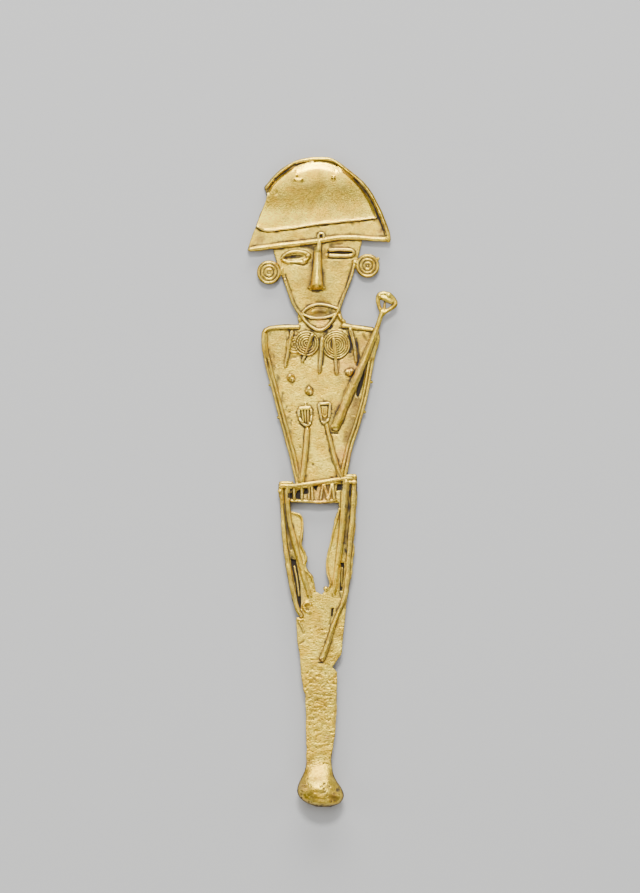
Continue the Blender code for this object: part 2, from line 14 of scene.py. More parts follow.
import bpy
import numpy as np
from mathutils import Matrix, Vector

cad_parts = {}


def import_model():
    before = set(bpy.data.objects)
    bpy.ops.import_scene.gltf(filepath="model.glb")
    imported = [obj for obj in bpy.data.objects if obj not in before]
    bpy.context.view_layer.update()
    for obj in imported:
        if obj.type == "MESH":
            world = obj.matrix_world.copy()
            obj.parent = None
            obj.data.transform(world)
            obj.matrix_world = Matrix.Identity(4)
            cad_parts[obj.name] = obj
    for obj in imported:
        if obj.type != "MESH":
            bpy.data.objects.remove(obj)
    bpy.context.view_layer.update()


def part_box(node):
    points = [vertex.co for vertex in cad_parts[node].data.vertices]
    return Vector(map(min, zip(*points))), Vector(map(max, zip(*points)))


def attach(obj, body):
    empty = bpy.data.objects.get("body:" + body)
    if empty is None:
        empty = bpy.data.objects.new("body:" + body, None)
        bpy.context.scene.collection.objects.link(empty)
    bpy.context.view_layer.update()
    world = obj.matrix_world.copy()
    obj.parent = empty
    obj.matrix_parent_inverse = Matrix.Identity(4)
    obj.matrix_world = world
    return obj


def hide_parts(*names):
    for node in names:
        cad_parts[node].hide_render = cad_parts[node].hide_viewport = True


log = logging.getLogger("figurine")

Point = tuple[float, float]
Route = list[Point]
Layers = tuple[tuple[float, float, int], ...]  # noises to add up, each with its weight, cell and seed
Item = TypeVar("Item")

NODE = "figurine"
MM = 0.001
DRAWN_LENGTH = 129.97  # the drawing's own length in mm, from the lump's foot to the crown
DRAWN_MIDDLE = (0.419, 65.186)  # the drawing's point that stands at the frame's origin
SHEET = 1.1  # thickness of the wax sheet in mm
THREAD = 0.95  # width of the common thread in mm
LEG_THREAD = 1.05
SINK = 0.18  # a thread's axis stands this share of its width above the sheet
NECK_Y = 97.5  # the body below this line tilts up
LUMP_REST_Y = 3.7  # where the lump touches the table
LUMP_BEHIND = 2.0  # how far the lump stands out behind the sheets, in mm

VOXEL = 0.08  # mm, about a quarter of the finest thread
FACE_BUDGET = 190_000

# The noise: what keeps its cell numbers above zero, its largest raw value, and how it scatters their bits
NOISE_ORIGIN = 4096.0
NOISE_TOP = 0xFFFF
CORNER_PRIMES = (73856093, 19349663, 83492791)
MIXERS = ((15, 2246822519), (13, 3266489917))
SEED_STEP, SEED_START = 2246822519, 374761393

CUT_EDGE: Layers = ((0.7, 1.3, 0), (0.5, 0.45, 7))  # how the sheet's cut edge wanders
TINY = 1e-9  # keeps a divisor above zero


class Surface(Enum):
    """How the smith left a stretch of the casting."""

    BURNISHED = "burnished"
    RUBBED = "rubbed"
    CAST_SKIN = "cast skin"
    PITTED = "pitted"


@dataclass
class Shell:
    """A closed mesh in drawing millimetres: points, quads between its rings, and flat caps at open ends."""

    points: np.ndarray
    quads: np.ndarray
    caps: list[np.ndarray]

    def shell(self) -> "Shell":
        """The mesh itself, so that it can stand among the parts."""
        return self


class Part(Protocol):
    """A piece of the wax model: anything that can give a closed mesh of itself."""

    def shell(self) -> Shell:
        """The piece as a closed mesh."""


def listed(*items: Item) -> list[Item]:
    """A dataclass field that starts as a list of the items, a new one for each object."""
    return field(default_factory=lambda: list(items))


def value_noise(points: np.ndarray, cell: float, seed: int) -> np.ndarray:
    """Smooth noise: random values at the corners of cubes, blended by a smooth step along each axis.

    Args:
        points: positions, one row of three each.
        cell: edge of a cube, in the points' unit.
        seed: which set of random values to use.

    Returns:
        One value from -1 to 1 for each point.
    """
    scaled = points / cell + NOISE_ORIGIN
    corner = np.floor(scaled).astype(np.uint64)
    part = scaled - corner
    part = part * part * (3.0 - 2.0 * part)
    total = np.zeros(len(points))
    primes = np.array(CORNER_PRIMES, dtype=np.uint64)
    for k in range(8):
        bits = np.array([k & 1, k >> 1 & 1, k >> 2 & 1], dtype=np.uint64)
        key = ((corner + bits) * primes).astype(np.uint64)
        mixed = key[:, 0] ^ key[:, 1] ^ key[:, 2] ^ np.uint64(seed * SEED_STEP + SEED_START)
        for shift, mixer in MIXERS:
            mixed = (mixed ^ (mixed >> np.uint64(shift))) * np.uint64(mixer)
        mixed = (mixed ^ (mixed >> np.uint64(16))) & np.uint64(NOISE_TOP)
        weight = np.prod(np.where(bits > 0, part, 1.0 - part), axis=1)
        total += weight * (mixed / (NOISE_TOP / 2) - 1.0)
    return total


def layered(points: np.ndarray, layers: Layers, seed: int = 0) -> np.ndarray:
    """A sum of noises.

    Args:
        points: positions, one row of three each.
        layers: the noises.
        seed: what is added to the seed of each.

    Returns:
        One value for each point.
    """
    return sum(weight * value_noise(points, cell, seed + own) for weight, cell, own in layers)


def soft_step(low: float, high: float, value: np.ndarray) -> np.ndarray:
    """Zero below low, one above high and a smooth rise between them.

    Args:
        low: where the rise starts.
        high: where it ends.
        value: what is compared.

    Returns:
        Values from 0 to 1.
    """
    t = np.clip((value - low) / (high - low), 0.0, 1.0)
    return t * t * (3.0 - 2.0 * t)


def distance_to(route: np.ndarray, places: np.ndarray) -> np.ndarray:
    """Distance from each place to the nearest point of a broken line, taken over all its straight stretches.

    Args:
        route: corners of the line, one row of two each.
        places: positions, one row of two each.

    Returns:
        One distance for each place.
    """
    best = np.full(len(places), np.inf)
    for a, b in zip(route[:-1], route[1:]):
        along = b - a
        share = np.clip((places - a) @ along / max(float(along @ along), 1e-12), 0.0, 1.0)
        best = np.minimum(best, np.linalg.norm(places - a - share[:, None] * along, axis=1))
    return best


def smooth_route(points: Route, closed: bool = False, spacing: float = 0.22) -> np.ndarray:
    """A cubic through the points, each stretch shaped by its two ends and their neighbours, evenly sampled.

    Args:
        points: places that the curve passes through.
        closed: whether the last place leads back to the first.
        spacing: about how far apart the samples are, in mm.

    Returns:
        Samples, one row of two each.
    """
    knots = np.array(points, dtype=float)
    if closed:
        near = [np.roll(knots, shift, axis=0) for shift in (1, 0, -1, -2)]
    else:
        padded = np.vstack([knots[:1], knots, knots[-1:]])
        near = [padded[:-3], padded[1:-2], padded[2:-1], padded[3:]]
    a, b, c, d = (n[:, None, :] for n in near)
    t = np.linspace(0.0, 1.0, 24, endpoint=False)[None, :, None]
    curve = 0.5 * (2 * b + (c - a) * t + (2 * a - 5 * b + 4 * c - d) * t**2 + (3 * b - a - 3 * c + d) * t**3)
    curve = curve.reshape(-1, 2)
    curve = np.vstack([curve, curve[:1] if closed else knots[-1:]])
    run = np.concatenate([[0.0], np.cumsum(np.linalg.norm(np.diff(curve, axis=0), axis=1))])
    count = max(int(run[-1] / spacing), 4)
    stops = np.linspace(0.0, run[-1], count, endpoint=not closed)
    return np.column_stack([np.interp(stops, run, curve[:, 0]), np.interp(stops, run, curve[:, 1])])


def straight_outline(points: Route, spacing: float = 0.25) -> np.ndarray:
    """A closed outline of straight stretches, evenly sampled.

    Args:
        points: its corners.
        spacing: about how far apart the samples are, in mm.

    Returns:
        Samples, one row of two each.
    """
    corners = np.array(points + points[:1], dtype=float)
    run = np.concatenate([[0.0], np.cumsum(np.linalg.norm(np.diff(corners, axis=0), axis=1))])
    stops = np.linspace(0.0, run[-1], int(run[-1] / spacing), endpoint=False)
    return np.column_stack([np.interp(stops, run, corners[:, 0]), np.interp(stops, run, corners[:, 1])])


def inset(points: Route, distance: float) -> Route:
    """An open route moved to the right of its own direction.

    Args:
        points: places along the route.
        distance: how far to move it, in mm, and to the left where it is below zero.

    Returns:
        The moved places.
    """
    knots = np.array(points, dtype=float)
    along = np.vstack([knots[1:], knots[-1:]]) - np.vstack([knots[:1], knots[:-1]])
    along /= np.linalg.norm(along, axis=1, keepdims=True)
    moved = knots + distance * np.column_stack([along[:, 1], -along[:, 0]])
    return [(float(x), float(y)) for x, y in moved]


def loft(rings: np.ndarray, closed: bool = False) -> Shell:
    """A closed skin through rings of equally many points, with flat ends unless it runs round.

    Args:
        rings: positions, by ring, by point of the ring, and by axis.
        closed: whether the last ring leads back to the first.

    Returns:
        The skin.
    """
    count, size, _ = rings.shape
    index = np.arange(count * size).reshape(count, size)
    following = np.roll(index, -1, axis=0)
    lower, upper = (index, following) if closed else (index[:-1], following[:-1])
    sides = np.stack([lower, np.roll(lower, -1, axis=1), np.roll(upper, -1, axis=1), upper], axis=-1)
    return Shell(rings.reshape(-1, 3), sides.reshape(-1, 4), [] if closed else [index[0, ::-1], index[-1]])


def turned(centre: Point, radii: np.ndarray, heights: np.ndarray, count: int) -> Shell:
    """A closed skin turned about an upright axis.

    Args:
        centre: where the axis stands.
        radii: radius of each ring.
        heights: height of each ring.
        count: how many points a ring has.

    Returns:
        The skin.
    """
    turn = np.arange(count)[None, :] * math.tau / count
    wide = radii[:, None]
    rings = [centre[0] + wide * np.cos(turn), centre[1] + wide * np.sin(turn), heights[:, None] + 0 * turn]
    return loft(np.stack(rings, axis=-1))


@dataclass
class Plate:
    """A cut piece of wax sheet: its outline at two heights, with a ragged edge."""

    outline: Route
    front: float = SHEET
    back: float = 0.0
    ragged: float = 0.05  # how far the cut edge wanders, in mm
    seed: int = 1

    def shell(self) -> Shell:
        """The plate: edge points moved along the edge's normal by two sizes of noise, at two heights.

        Returns:
            A closed skin.
        """
        edge = straight_outline(self.outline)
        flat = np.column_stack([edge, np.zeros(len(edge))])
        sway = layered(flat, CUT_EDGE, self.seed)
        along = np.roll(edge, -1, axis=0) - np.roll(edge, 1, axis=0)
        along /= np.maximum(np.linalg.norm(along, axis=1, keepdims=True), TINY)
        edge = edge + self.ragged * sway[:, None] * np.column_stack([along[:, 1], -along[:, 0]])
        rings = [np.column_stack([edge, np.full(len(edge), z)]) for z in (self.back, self.front)]
        return loft(np.array(rings))


@dataclass
class Thread:
    """A rolled wax thread: an oval profile carried along a route, with rounded ends and an unsteady hand."""

    route: Route
    width: float | tuple[float, float] = THREAD
    rise: float | tuple[float, float] | None = None  # height of its axis, at its start and its end
    closed: bool = False
    depth: float | None = None
    wobble: float = 0.05
    seed: int = 3
    sides: int = 14

    def shell(self) -> Shell:
        """The thread: at each step of its path a circle scaled by the radius, and at each end by a quarter
        round too.

        Returns:
            A closed skin.
        """
        path = smooth_route(self.route, self.closed)
        share = np.linspace(0.0, 1.0, len(path))
        ends = self.width if isinstance(self.width, tuple) else (self.width, self.width)
        half = (ends[0] + (ends[1] - ends[0]) * share) / 2
        rises = self.rise if isinstance(self.rise, tuple) else (self.rise, self.rise)
        if self.rise is None:
            rises = tuple(SHEET + SINK * width for width in ends)
        height = rises[0] + (rises[1] - rises[0]) * share
        flat = np.column_stack([path, np.zeros(len(path))])
        swell, ripple = (value_noise(flat, cell, self.seed + i) for i, cell in enumerate((1.7, 0.6)))
        half = half * (1.0 + 0.09 * swell + 0.05 * ripple)
        along = np.gradient(path, axis=0)
        if self.closed:
            along = np.roll(path, -1, axis=0) - np.roll(path, 1, axis=0)
        along /= np.maximum(np.linalg.norm(along, axis=1, keepdims=True), TINY)
        normal = np.column_stack([along[:, 1], -along[:, 0]])
        path = path + self.wobble * value_noise(flat, 2.6, self.seed + 2)[:, None] * normal
        height = height + 0.6 * self.wobble * value_noise(flat, 2.1, self.seed + 4)
        high = half if self.depth is None else np.full(len(path), self.depth / 2)
        if not self.closed:
            run = np.concatenate([[0.0], np.cumsum(np.linalg.norm(np.diff(path, axis=0), axis=1))])
            reach = np.minimum(run, run[-1] - run) / np.maximum(half, 1e-6)
            blunt = np.sqrt(np.clip(1.0 - (1.0 - np.minimum(reach + 0.12, 1.0)) ** 2, 0.05, 1.0))
            half, high = half * blunt, high * blunt
        angle = (np.arange(self.sides) + 0.5) * math.tau / self.sides
        across, up = np.cos(angle)[None, :], np.sin(angle)[None, :]
        rings = np.stack(
            [
                path[:, 0:1] + normal[:, 0:1] * across * half[:, None],
                path[:, 1:2] + normal[:, 1:2] * across * half[:, None],
                height[:, None] + up * high[:, None],
            ],
            axis=-1,
        )
        return loft(rings, self.closed)


@dataclass
class Pellet:
    """A wax ball pressed on: a sphere over two angles, flattened a little."""

    centre: Point
    radius: float
    foot: float = SHEET
    squash: float = 0.85
    pole: float = 0.08  # angle of the first ring from the pole

    def shell(self) -> Shell:
        """The ball: a ring's radius is the sine of its angle from the pole, and its height the cosine.

        Returns:
            A closed skin.
        """
        polar = np.linspace(self.pole, math.pi - self.pole, 10)
        heights = self.foot + self.squash * self.radius * np.cos(polar)
        return turned(self.centre, self.radius * np.sin(polar), heights, 16)


@dataclass
class RingedDisc:
    """A flat coil of thread: a disc, on which rings are raised later by the worked surface."""

    centre: Point
    radius: float
    rings: int
    top: float = SHEET + 0.42
    foot: float = 0.15
    relief: float = 0.2
    # how dark the grooves between the rings are painted: soil together with painted shade
    groove_soil_and_shade: float = 0.95
    knob: float = 0.42  # width of the middle knob, as a share of a ring

    def shell(self) -> Shell:
        """The disc: a profile of radius and height turned about the disc's own axis.

        Returns:
            A closed skin.
        """
        r = self.radius
        radii = np.array([r * 0.9, r, r, r - 0.14])
        heights = np.array([self.foot, self.foot + 0.3, self.top - 0.15, self.top])
        return turned(self.centre, radii, heights, 64)

    def coil(self, x: np.ndarray, y: np.ndarray) -> tuple[np.ndarray, np.ndarray]:
        """The coil's rings as a cosine of the radius, one wave to a ring.

        Args:
            x: places across the figure.
            y: places along the figure.

        Returns:
            How far each place lies inside the rim, and the cosine there.
        """
        reach = np.hypot(x - self.centre[0], y - self.centre[1])
        pitch = self.radius / (self.rings + self.knob)
        return self.radius - reach, np.cos((self.radius - 0.5 * pitch - reach) / pitch * math.tau)

    def raise_rings(self, x: np.ndarray, y: np.ndarray) -> np.ndarray:
        """Height of the coil's rings, faded out past the rim.

        Args:
            x: places across the figure.
            y: places along the figure.

        Returns:
            Height to add at each place, in mm.
        """
        inward, wave = self.coil(x, y)
        return self.relief * 0.5 * wave * soft_step(0.0, 0.12, inward)

    def troughs(self, x: np.ndarray, y: np.ndarray) -> np.ndarray:
        """The grooves between the coil's rings.

        Args:
            x: places across the figure.
            y: places along the figure.

        Returns:
            One at the bottom of a groove, and nothing on a ring's top.
        """
        inward, wave = self.coil(x, y)
        return soft_step(-0.25, -0.85, wave) * soft_step(0.1, 0.25, inward)


@dataclass
class Hat:
    """Half-round hat: a sheet, a bulging crown laid on it, and threads at its brim, band and rim."""

    tip: Point = (-14.6, 111.3)
    rim: Route = listed(
        (-11.2, 123.9), (-9.3, 126.2), (-7.4, 127.8), (-4.9, 129.25), (-2.3, 129.85), (0.0, 129.95),
        (2.2, 129.8), (4.1, 128.75), (6.35, 127.0), (8.6, 125.0), (10.65, 122.3), (12.25, 119.25),
        (13.4, 116.4), (13.95, 114.3),
    )
    broken: Route = listed((-12.9, 115.9), (-11.9, 118.6), (-10.7, 121.5), (-10.7, 122.9))
    brim: Route = listed((-14.35, 111.45), (-5.9, 112.5), (-1.0, 113.1), (5.0, 113.9), (13.4, 113.4))
    band: Route = listed(
        (-12.7, 116.1), (-10.7, 115.3), (-7.1, 115.6), (-1.0, 116.5), (6.2, 117.3), (11.4, 117.8),
    )
    crown_edge: Route = listed(
        (-12.7, 116.3), (-11.8, 118.7), (-10.75, 121.4), (-10.4, 123.0), (-9.2, 124.9), (-6.8, 126.9),
        (-4.5, 128.2), (-2.0, 128.95), (0.6, 129.0), (3.2, 128.3), (5.4, 126.7), (7.2, 125.0),
        (8.6, 123.4), (9.8, 121.5), (10.8, 119.4), (11.45, 117.9),
    )
    crown_rise: float = 0.86
    crown_step: float = 0.32
    crown_thinning: float = 0.32  # how much lower the crown is at the band
    roll: tuple[float, float] = (1.95, 0.5)  # how far in the crown rolls over, at the top and at the sides

    def crown(self) -> Shell:
        """The crown over a grid of two shares: one across, from broken edge to rim, and one up, from band to
        rim. It stands a step above the sheet at its edge, and the rest of its rise is a cubic of how far in
        a place is, nearly straight at first and level at its end.

        Returns:
            A closed skin, with the same grid below it inside the sheet.
        """
        band, edge = np.array(self.band), smooth_route(self.crown_edge, spacing=0.3)
        x = np.linspace(edge[0, 0], edge[-1, 0], 110)
        low, high = np.interp(x, band[:, 0], band[:, 1]), np.interp(x, edge[:, 0], edge[:, 1])
        up = np.linspace(0.0, 1.0, 70)[:, None]
        grid_x = x[None, :] + 0 * up
        grid_y = low[None, :] + (high - low)[None, :] * up
        places = np.column_stack([grid_x.ravel(), grid_y.ravel()])
        rolled = edge[edge[:, 0] >= self.crown_edge[3][0]]
        inward = distance_to(rolled, places).reshape(grid_x.shape)
        topmost = soft_step(-5.6, -4.2, grid_x) * soft_step(4.4, 3.0, grid_x)
        share = np.clip(inward / (self.roll[1] + (self.roll[0] - self.roll[1]) * topmost), 0.0, 1.0)
        rise = self.crown_step + (self.crown_rise - self.crown_step) * share * (1.0 + share - share**2)
        thinned = self.crown_thinning * soft_step(9.6, 2.6, grid_y - low[None, :])
        rise = np.maximum(rise - thinned, self.crown_step)
        front = np.stack([grid_x, grid_y, SHEET + rise], axis=-1)
        back = np.stack([grid_x, grid_y, np.full_like(rise, SHEET * 0.5)], axis=-1)
        rings = np.concatenate([front, back[:, ::-1]], axis=1)
        return loft(rings)

    def parts(self) -> list[Part]:
        """Every part of the hat.

        Returns:
            Parts, each sunk a little into its neighbours.
        """
        lower_edge = [(x, y - 0.3) for x, y in reversed(self.brim)]
        rim = inset(self.rim + [(14.0, 112.9)], THREAD * 0.42)
        return [
            Plate(lower_edge + [self.tip] + self.broken + self.rim, ragged=0.07, seed=5),
            self.crown(),
            Thread(self.brim, THREAD * 1.1, seed=11),
            Thread(self.band, 0.46, rise=SHEET + 0.58, seed=12, wobble=0.07),
            Thread(rim, (0.66, 1.02), seed=13),
            Thread([(-5.2, 125.5), (-4.4, 125.3), (-3.5, 125.5)], 0.4, rise=SHEET + 0.84, seed=14),
            Thread([(-4.8, 126.2), (-4.5, 126.3)], 0.34, rise=SHEET + 0.82, seed=15),
            Pellet((2.7, 125.8), 0.38, SHEET + 0.84),
        ]


@dataclass
class Face:
    """The face sheet in its outline thread, with nose, loop eyes, loop mouth and ear discs."""

    left: Route = listed(
        (-9.7, 112.9), (-8.6, 108.9), (-7.4, 105.6), (-6.5, 103.0), (-5.5, 100.3), (-4.3, 98.4),
    )
    chin: Route = listed((-3.0, 96.7), (-1.7, 95.6), (-0.2, 95.0), (1.1, 95.4), (2.4, 96.7))
    right: Route = listed(
        (3.6, 98.4), (4.4, 100.3), (5.4, 103.0), (6.6, 106.1), (7.2, 108.6), (8.7, 114.2),
    )
    neck: Route = listed((-4.4, 99.0), (-4.3, 95.6), (5.4, 95.4), (4.9, 96.9), (4.4, 98.4), (4.2, 99.6))
    left_eye: Route = listed(
        (-7.6, 109.7), (-6.5, 110.7), (-4.9, 111.1), (-3.2, 110.9), (-2.1, 110.3), (-2.8, 109.4),
        (-4.6, 109.0), (-6.6, 108.95),
    )
    right_eye: Route = listed(
        (1.6, 111.4), (4.2, 111.5), (6.2, 111.35), (6.75, 110.85), (6.2, 110.3), (4.2, 110.2),
        (1.6, 110.3),
    )
    mouth: Route = listed(
        (-3.4, 98.7), (-2.4, 99.8), (-0.4, 100.5), (2.1, 100.1), (3.7, 99.3), (2.4, 98.3), (0.4, 97.8),
        (-1.6, 97.85),
    )
    brow_loop: Route = listed((-0.25, 113.5), (-0.2, 114.6), (0.65, 114.6), (0.65, 113.5))
    nose_rise: float = 1.7

    def nose(self) -> Shell:
        """The nose over two shares: down its length, where it widens and rises to its tip and then drops, and
        over its arch, an upper half oval.

        Returns:
            A closed skin that reaches into the face sheet.
        """
        down = np.array([0.0, 0.12, 0.3, 0.5, 0.68, 0.8, 0.88, 0.94, 0.98, 1.0])
        y = 111.9 + (103.35 - 111.9) * down
        middle = np.interp(down, [0, 1], [-0.45, -0.65])
        half = np.interp(down, [0, 0.5, 0.8, 0.93, 1.0], [0.75, 0.95, 1.2, 1.45, 1.1])
        stops, levels = [0, 0.12, 0.5, 0.8, 0.9, 0.96, 1.0], [0.3, 0.5, 0.72, 0.95, 1, 0.7, 0.2]
        rise = self.nose_rise * np.interp(down, stops, levels)
        arch = np.linspace(0.0, math.pi, 17)[None, :]
        x = middle[:, None] - half[:, None] * np.sign(np.cos(arch)) * np.abs(np.cos(arch)) ** 0.85
        z = SHEET - 0.3 + (rise[:, None] + 0.3) * np.sin(arch) ** 0.95
        rings = np.stack([x, y[:, None] + 0 * arch, z], axis=-1)
        return loft(rings)

    def ears(self) -> list[RingedDisc]:
        """The two ear discs."""
        return [RingedDisc((-10.2, 106.9), 2.38, 3), RingedDisc((9.5, 108.2), 2.38, 3)]

    def parts(self) -> list[Part]:
        """Every part of the face.

        Returns:
            Parts, each sunk a little into its neighbours.
        """
        outline = inset(self.left[2:] + self.chin + self.right[:-1], -THREAD * 0.35)
        bridge = [(-0.4, 110.8), (-0.2, 112.2), (-0.05, 113.4)]
        tongue = [(-2.0, 98.95), (-0.3, 99.3), (1.5, 99.1)]
        made: list[Part] = [
            Plate(self.left + self.chin + self.right, front=SHEET - 0.02, seed=21),
            Plate(self.neck, front=SHEET - 0.04, seed=22),
            Thread(outline, THREAD * 0.68, rise=SHEET + 0.3, seed=23),
            self.nose(),
            Pellet((-1.85, 103.85), 0.5, SHEET + 0.1),
            Pellet((0.55, 103.85), 0.5, SHEET + 0.1),
            Thread(bridge, (1.0, 0.75), rise=SHEET + 0.5, seed=24),
            Thread(self.brow_loop, 0.42, rise=SHEET + 0.5, closed=True, wobble=0.02, seed=29),
            Thread(self.left_eye, 0.55, closed=True, seed=25),
            Thread([(-7.4, 109.35), (-6.2, 108.95), (-4.4, 109.0), (-3.1, 108.8)], 0.6, seed=26),
            Pellet((-3.1, 109.15), 0.6, SHEET),
            Pellet((-2.4, 110.2), 0.42, SHEET + 0.1),
            Thread(self.right_eye, 0.78, rise=SHEET + 0.2, wobble=0.03, seed=27),
            Thread([(3.8, 98.6), (4.3, 97.5), (5.2, 96.9)], 0.8, seed=33),
            Thread([(-4.2, 98.6), (-4.0, 97.0)], 0.7, rise=SHEET, seed=34),
            Thread(self.mouth, 0.58, rise=SHEET + 0.28, closed=True, seed=28),
            Thread(tongue, (1.3, 0.9), rise=SHEET - 0.15, depth=0.8, seed=30),
            Pellet((7.0, 108.9), 0.6, SHEET + 0.1),
            Pellet((11.6, 109.6), 0.35, SHEET + 0.2),
        ]
        for disc, inner in zip(self.ears(), (-7.4, 6.9)):
            x, y = disc.centre
            lobe = [(inner, y - 0.6), (x, y), (inner, y + 0.9)]
            made += [disc, Plate(lobe, SHEET + 0.2, 0.1)]
        return made


@dataclass
class Necklace:
    """Two ringed chest discs, a half-hidden lobe beside them, and five pendants that hang over them."""

    pendants: list[Route] = listed(
        [(-5.6, 95.3), (-6.3, 91.5), (-6.9, 87.8)], [(-1.5, 94.6), (-2.6, 91.6), (-3.6, 88.9)],
        [(0.5, 94.0), (0.2, 90.5), (-0.1, 86.7)], [(2.7, 93.9), (3.1, 90.0), (3.4, 86.4)],
        [(6.05, 95.8), (6.85, 92.2), (7.25, 88.9)],
    )
    pellets: Route = listed((-5.8, 85.8), (5.9, 86.9), (-2.2, 83.2))
    crumbs: list[Route] = listed(
        [(-0.2, 0.35), (0.3, -0.3)], [(-0.45, 0.1), (0.35, 0.3)], [(0.0, 0.4), (0.35, -0.3)],
    )

    def discs(self) -> list[RingedDisc]:
        """The lobe and the two chest discs.

        Returns:
            The discs, from left to right.
        """
        return [
            RingedDisc((-5.1, 92.4), 1.75, 3, top=SHEET + 0.3, relief=0.14, groove_soil_and_shade=0.35),
            RingedDisc((-2.7, 92.7), 2.55, 5),
            RingedDisc((3.2, 92.4), 2.85, 6),
        ]

    def parts(self) -> list[Part]:
        """Every part of the necklace and the pellets below it.

        Returns:
            Parts, each sunk a little into its neighbours.
        """
        made: list[Part] = [*self.discs()]
        for i, route in enumerate(self.pendants):
            rise = (SHEET + 0.68, SHEET + 0.16) if i in (1, 3) else (SHEET + 0.5, SHEET + 0.14)
            made.append(Thread(route, (0.74, 0.52), rise=rise, wobble=0.08, seed=31 + 5 * i))
        for (x, y), crumbs in zip(self.pellets, self.crumbs):
            made.append(Pellet((x, y), 0.76, SHEET + 0.1))
            made += [Pellet((x + dx, y + dy), 0.46, SHEET + 0.42) for dx, dy in crumbs]
        return made


@dataclass
class Arms:
    """Thread arms rising from the belt to two flat hands."""

    left: Route = listed((-2.5, 76.0), (-2.9, 70.5), (-3.7, 64.8))
    right: Route = listed((1.2, 76.9), (2.4, 71.5), (4.2, 65.6))
    left_palm: Route = listed(
        (-4.25, 79.5), (-4.15, 77.9), (-3.5, 76.6), (-2.5, 76.2), (-1.85, 76.9), (-1.7, 78.3),
        (-1.8, 79.7),
    )
    right_palm: Route = listed((-0.3, 80.6), (2.0, 80.8), (1.8, 77.7), (0.9, 76.6), (0.3, 77.2))
    finger: float = 0.36

    def palm(self, outline: Route, front: float, seed: int) -> list[Part]:
        """A hand's plate in its edge thread, which follows the plate's straight sides.

        Args:
            outline: corners of the hand.
            front: height of the plate's face, in mm.
            seed: the hand's own noise.

        Returns:
            The plate and its edge threads.
        """
        made: list[Part] = [Plate(outline, front, 0.2, seed=seed)]
        for i, (a, b) in enumerate(zip(outline, outline[1:] + outline[:1])):
            made.append(Thread([a, b], 0.5, rise=SHEET + 0.45, wobble=0.02, seed=seed + i))
        return made

    def parts(self) -> list[Part]:
        """Every part of the arms and hands.

        Returns:
            Parts, each sunk a little into its neighbours.
        """
        made: list[Part] = [Thread(self.left, 1.0, seed=61), Thread(self.right, (0.8, 1.0), seed=64)]
        made += self.palm(self.left_palm, SHEET + 0.18, 66) + self.palm(self.right_palm, SHEET + 0.14, 76)
        for i, (head, foot) in enumerate(((-3.6, -3.3), (-3.0, -2.85), (-2.4, -2.4))):
            route = [(head, 79.5), (foot, 76.9)]
            made.append(Thread(route, self.finger, rise=SHEET + 0.46, wobble=0.02, seed=86 + i))
        left_tips, right_tips = [(-4.3, 79.75), (-1.8, 80.0)], [(-0.3, 80.6), (1.95, 80.75)]
        thumb = [(-2.85, 79.8), (-2.85, 80.8)]
        fold = [(0.5, 79.9), (0.55, 78.5), (1.0, 78.0), (1.35, 78.6), (1.35, 79.9)]
        return made + [
            Thread(left_tips, 0.55, rise=SHEET + 0.42, wobble=0.03, seed=89),
            Thread(thumb, 0.45, rise=SHEET + 0.2, seed=90),
            Thread(right_tips, 0.55, rise=SHEET + 0.4, wobble=0.03, seed=91),
            Thread(fold, 0.35, rise=SHEET + 0.2, wobble=0.02, seed=92),
        ]


@dataclass
class Staff:
    """The staff over the shoulder: a thread that widens to a flat foot, with an open looped head."""

    shaft: Route = listed(
        (12.8, 99.4), (12.1, 98.0), (10.7, 94.1), (8.4, 88.3), (5.9, 82.8), (3.8, 77.7), (2.8, 75.4),
    )
    loop: Route = listed(
        (12.4, 98.6), (11.6, 101.0), (11.9, 102.5), (13.7, 102.5), (15.1, 100.6), (13.0, 98.9),
    )

    def parts(self) -> list[Part]:
        """Every part of the staff.

        Returns:
            Parts, each sunk a little into its neighbours.
        """
        high, low = SHEET + THREAD * 0.75, SHEET + 0.35
        return [
            Thread(self.shaft, (1.0, 2.0), rise=(high, low), depth=1.1, wobble=0.07, seed=101),
            Thread(self.loop, 0.9, rise=high, closed=True, seed=103),
            Thread([(12.0, 102.1), (13.4, 101.5), (14.7, 100.8)], 1.25, rise=high, seed=105),
            Thread([(12.6, 98.8), (12.85, 100.0), (12.95, 101.2)], (0.9, 0.5), rise=high, seed=107),
            Pellet((13.7, 102.3), 0.68, high + 0.1),
            Pellet((11.9, 102.1), 0.55, high + 0.1),
            Thread([(14.9, 100.4), (13.9, 99.6), (13.0, 99.0)], 0.75, rise=high, seed=109),
        ]


